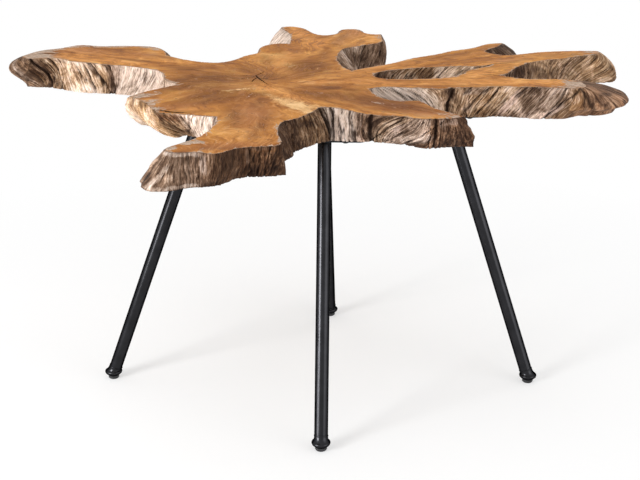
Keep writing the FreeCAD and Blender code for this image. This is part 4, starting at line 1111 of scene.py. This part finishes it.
def piece(name, mesh, place, body, material, replaces=None):
    """A visual piece that rides on a body and may replace a node."""
    mesh.transform(place)
    mesh.materials.append(material)
    obj = new_object(name, mesh)
    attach(obj, body)
    if replaces:
        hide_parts(replaces)


def circle(count, radius=1.0):
    return [(radius * math.cos(a), radius * math.sin(a))
            for a in (2 * math.pi * k / count for k in range(count))]


def tilted_loop(distance, radius):
    """A circle round the tube's axis, at a distance from the knee, in the leg's own frame."""
    middle = KNEE_POINT + AXIS * distance
    return [middle + TILT @ Vector((x, y, 0)) for x, y in circle(48, radius)]


def level_loop(height, radius):
    return [Vector((x, y, height)) for x, y in circle(48, radius)]


def turned_foot(name, place):
    """Bulb foot: level seat and ring, and a hollow flare that leans over onto the tube."""
    loops = [level_loop(*size) for size in FOOT_SEAT]
    for k in range(7):
        f = k / 6
        loops.append(level_loop(FLARE_LOW + FLARE_TALL * f, FLARE_RADIUS + FLARE_WIDE * f ** 0.8))
    for k in range(1, 13):
        a = -1.0 + 2.25 * k / 12
        loops.append(level_loop(RING_HEIGHT + RING_ROUND * math.sin(a),
                                RING_RADIUS + RING_ROUND * math.cos(a)))
    neck = level_loop(NECK_HEIGHT, NECK_RADIUS)
    collar = [tilted_loop(*size) for size in COLLAR]
    for k in range(1, 9):
        f = k / 8
        ease = f * f * (3 - 2 * f)
        pull = NECK_HOLLOW * math.sin(math.pi * f)
        loop = []
        for a, b in zip(neck, collar[0]):
            middle = KNEE_POINT + AXIS * (a.lerp(b, f) - KNEE_POINT).dot(AXIS)
            point = a.lerp(b, f * 0.35 + ease * 0.65)
            loop.append(point + (middle - point).normalized() * pull)
        loops.append(loop)
    loops += collar[1:]
    piece("turned_foot_" + name, rings("turned_foot", loops, False), place, "table", BLACK,
          "bulb_foot_" + name)


def threaded_stud(name, place):
    """A rod with a rolled thread, as loops that follow the helix."""
    count = 28
    long = STUD_HIGH - STUD_LOW
    rows = int(long / STUD_PITCH * 8)
    loops = []
    for row in range(rows + 1):
        z = STUD_LOW + long * row / rows
        taper = STUD_TAPER * max(0, 1 - (STUD_HIGH - z) / STUD_TIP)
        loop = []
        for k, (x, y) in enumerate(circle(count)):
            phase = (z / STUD_PITCH - k / count) % 1.0
            cut = STUD_GROOVE * (0.5 + 0.5 * math.cos(2 * math.pi * phase))
            size = STUD_RADIUS - cut - taper
            loop.append(Vector((size * x, size * y, z)))
        loops.append(loop)
    piece("threaded_stud_" + name, rings("stud_thread", loops), place, "glide_" + name, ZINC,
          "glide_stud_" + name)


def weld_point(a):
    """A point of the line where the tube meets its plate, in the leg's own frame."""
    rise = TOP - THICK - PLATE_THICK - KNEE
    r = TUBE_RADIUS + WELD_OUT
    return Vector((-rise * math.tan(SPLAY) + r / math.cos(SPLAY) * math.cos(a), r * math.sin(a),
                   KNEE + rise - WELD_UNDER))


def weld_bead(name, place, seed):
    """A rippled weld bead round the tube, under its plate."""
    count = 96
    loops = []
    for k in range(count):
        a = 2 * math.pi * k / count
        centre = weld_point(a)
        way = (weld_point(a + 0.01) - centre).normalized()
        side = way.cross(Vector((0, 0, 1))).normalized()
        lift = side.cross(way)
        uneven = noise.noise(Vector((k * 0.35, seed, 0)))
        ripple = 1 + 0.13 * math.sin(k * 2 * math.pi / 6 + seed) + 0.10 * uneven
        loops.append([centre + (side * x + lift * y) * WELD_RADIUS * ripple
                      for x, y in circle(10)])
    loops.append(loops[0])
    name = "plate_weld_" + name
    piece(name, rings(name, loops, False), place, "table", BLACK)


for seed, (name, x, y, azimuth) in enumerate(LEGS):
    place = leg_matrix(x, y, azimuth)
    turned_foot(name, place)
    weld_bead(name, place, seed)
    threaded_stud(name, place)

finishes = (("leg_tube_", BLACK), ("mounting_plate_", BLACK), ("bulb_foot_", BLACK),
            ("plate_screws_", OXIDE), ("threaded_insert_", ZINC), ("glide_pad_", PLASTIC),
            ("glide_stud_", ZINC))
for node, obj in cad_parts.items():
    for start, material in finishes:
        if node.startswith(start):
            if not obj.material_slots:
                obj.data.materials.append(material)
            for material_slot in obj.material_slots:
                material_slot.material = material


# Floor, light and camera.
WHITE = grey(1)
ROOM_STRENGTH = 0.71
FLOOR_REACH = 14


def seen_directly(n):
    """1 for camera, glossy and transmission rays, and 0 for the light on the object."""
    path = n.add("ShaderNodeLightPath").outputs
    seen = n.math("ADD", path["Is Camera Ray"], path["Is Glossy Ray"], True)
    return n.math("ADD", seen, path["Is Transmission Ray"], True)


def pale_floor():
    """White where it is seen, fading to a pale matt floor with a shadow under the table."""
    n = new_material("pale_floor")
    seen = seen_directly(n)
    place = n.place()
    tone = n.span(n.noise(place, 3.0, 2.0), 0.3, 0.7, 0.93, 0.94)
    matt = n.add("ShaderNodeBsdfDiffuse", Color=n.ramp(tone, (0, grey(0)), (1, WHITE)))
    glow = n.add("ShaderNodeEmission", Color=WHITE, Strength=seen)
    share = n.math("MULTIPLY", seen, n.span(n.length(place), 0.10, 1.10, 0.36, 1.0))
    both = n.add("ShaderNodeMixShader", i0=share, i1=matt.outputs[0], i2=glow.outputs[0])
    n.add("ShaderNodeOutputMaterial", Surface=both.outputs[0])
    return n.owner


floor_mesh = bpy.data.meshes.new("floor")
corners = [(x * FLOOR_REACH, y * FLOOR_REACH, 0) for x, y in ((-1, -1), (1, -1), (1, 1), (-1, 1))]
floor_mesh.from_pydata(corners, [], [(0, 1, 2, 3)])
floor_mesh.materials.append(pale_floor())
floor = new_object("floor", floor_mesh)

world = bpy.data.worlds.new("studio")
bpy.context.scene.world = world
n = Nodes(world)
room = n.add("ShaderNodeBackground", Color=WHITE, Strength=ROOM_STRENGTH)
white = n.add("ShaderNodeBackground", Color=WHITE, Strength=1.0)
choose = n.add("ShaderNodeMixShader", i0=seen_directly(n), i1=room.outputs[0], i2=white.outputs[0])
n.add("ShaderNodeOutputWorld", Surface=choose.outputs[0])


def softbox(name, place, target, size, power):
    """A rectangular lamp that faces its target."""
    light = bpy.data.lights.new(name, "AREA")
    light.shape = "RECTANGLE"
    light.size, light.size_y = size
    light.energy = power
    obj = new_object(name, light)
    obj.location = place
    obj.rotation_euler = (Vector(target) - Vector(place)).to_track_quat("-Z", "Y").to_euler()


softbox("key_left", (-2.15, -1.95, 1.00), (0, -0.1, 0.3), (0.92, 1.06), 75)
softbox("low_left", (-1.0, -0.78, 0.10), (-0.25, -0.10, 0.2), (0.38, 0.16), 2.9)
softbox("top_back", (0.6, 1.2, 3.0), (0, 0, 0.4), (2.0, 1.4), 10)
softbox("fill_right", (2.5, -1.8, 1.0), (0, 0, 0.3), (2.2, 1.9), 28)

# The photograph's camera, as fitted to the legs: pixels, degrees downward, and metres before the
# frame centres the table.
PICTURE_WIDTH, FOCAL_LENGTH, PITCH = 640, 1236, 19.45
EYE = (0.0135, -1.8226, 0.8341)
SENSOR_WIDTH = 36.0
camera_data = bpy.data.cameras.new("camera")
camera_data.sensor_fit = "HORIZONTAL"
camera_data.sensor_width = SENSOR_WIDTH
camera_data.lens = SENSOR_WIDTH * FOCAL_LENGTH / PICTURE_WIDTH
camera = new_object("camera", camera_data)
camera.location = (EYE[0] + SHIFT[0], EYE[1] + SHIFT[1], EYE[2])
camera.rotation_euler = (math.radians(90 - PITCH), 0, 0)
bpy.context.scene.camera = camera
bpy.context.scene.view_settings.view_transform = "Standard"
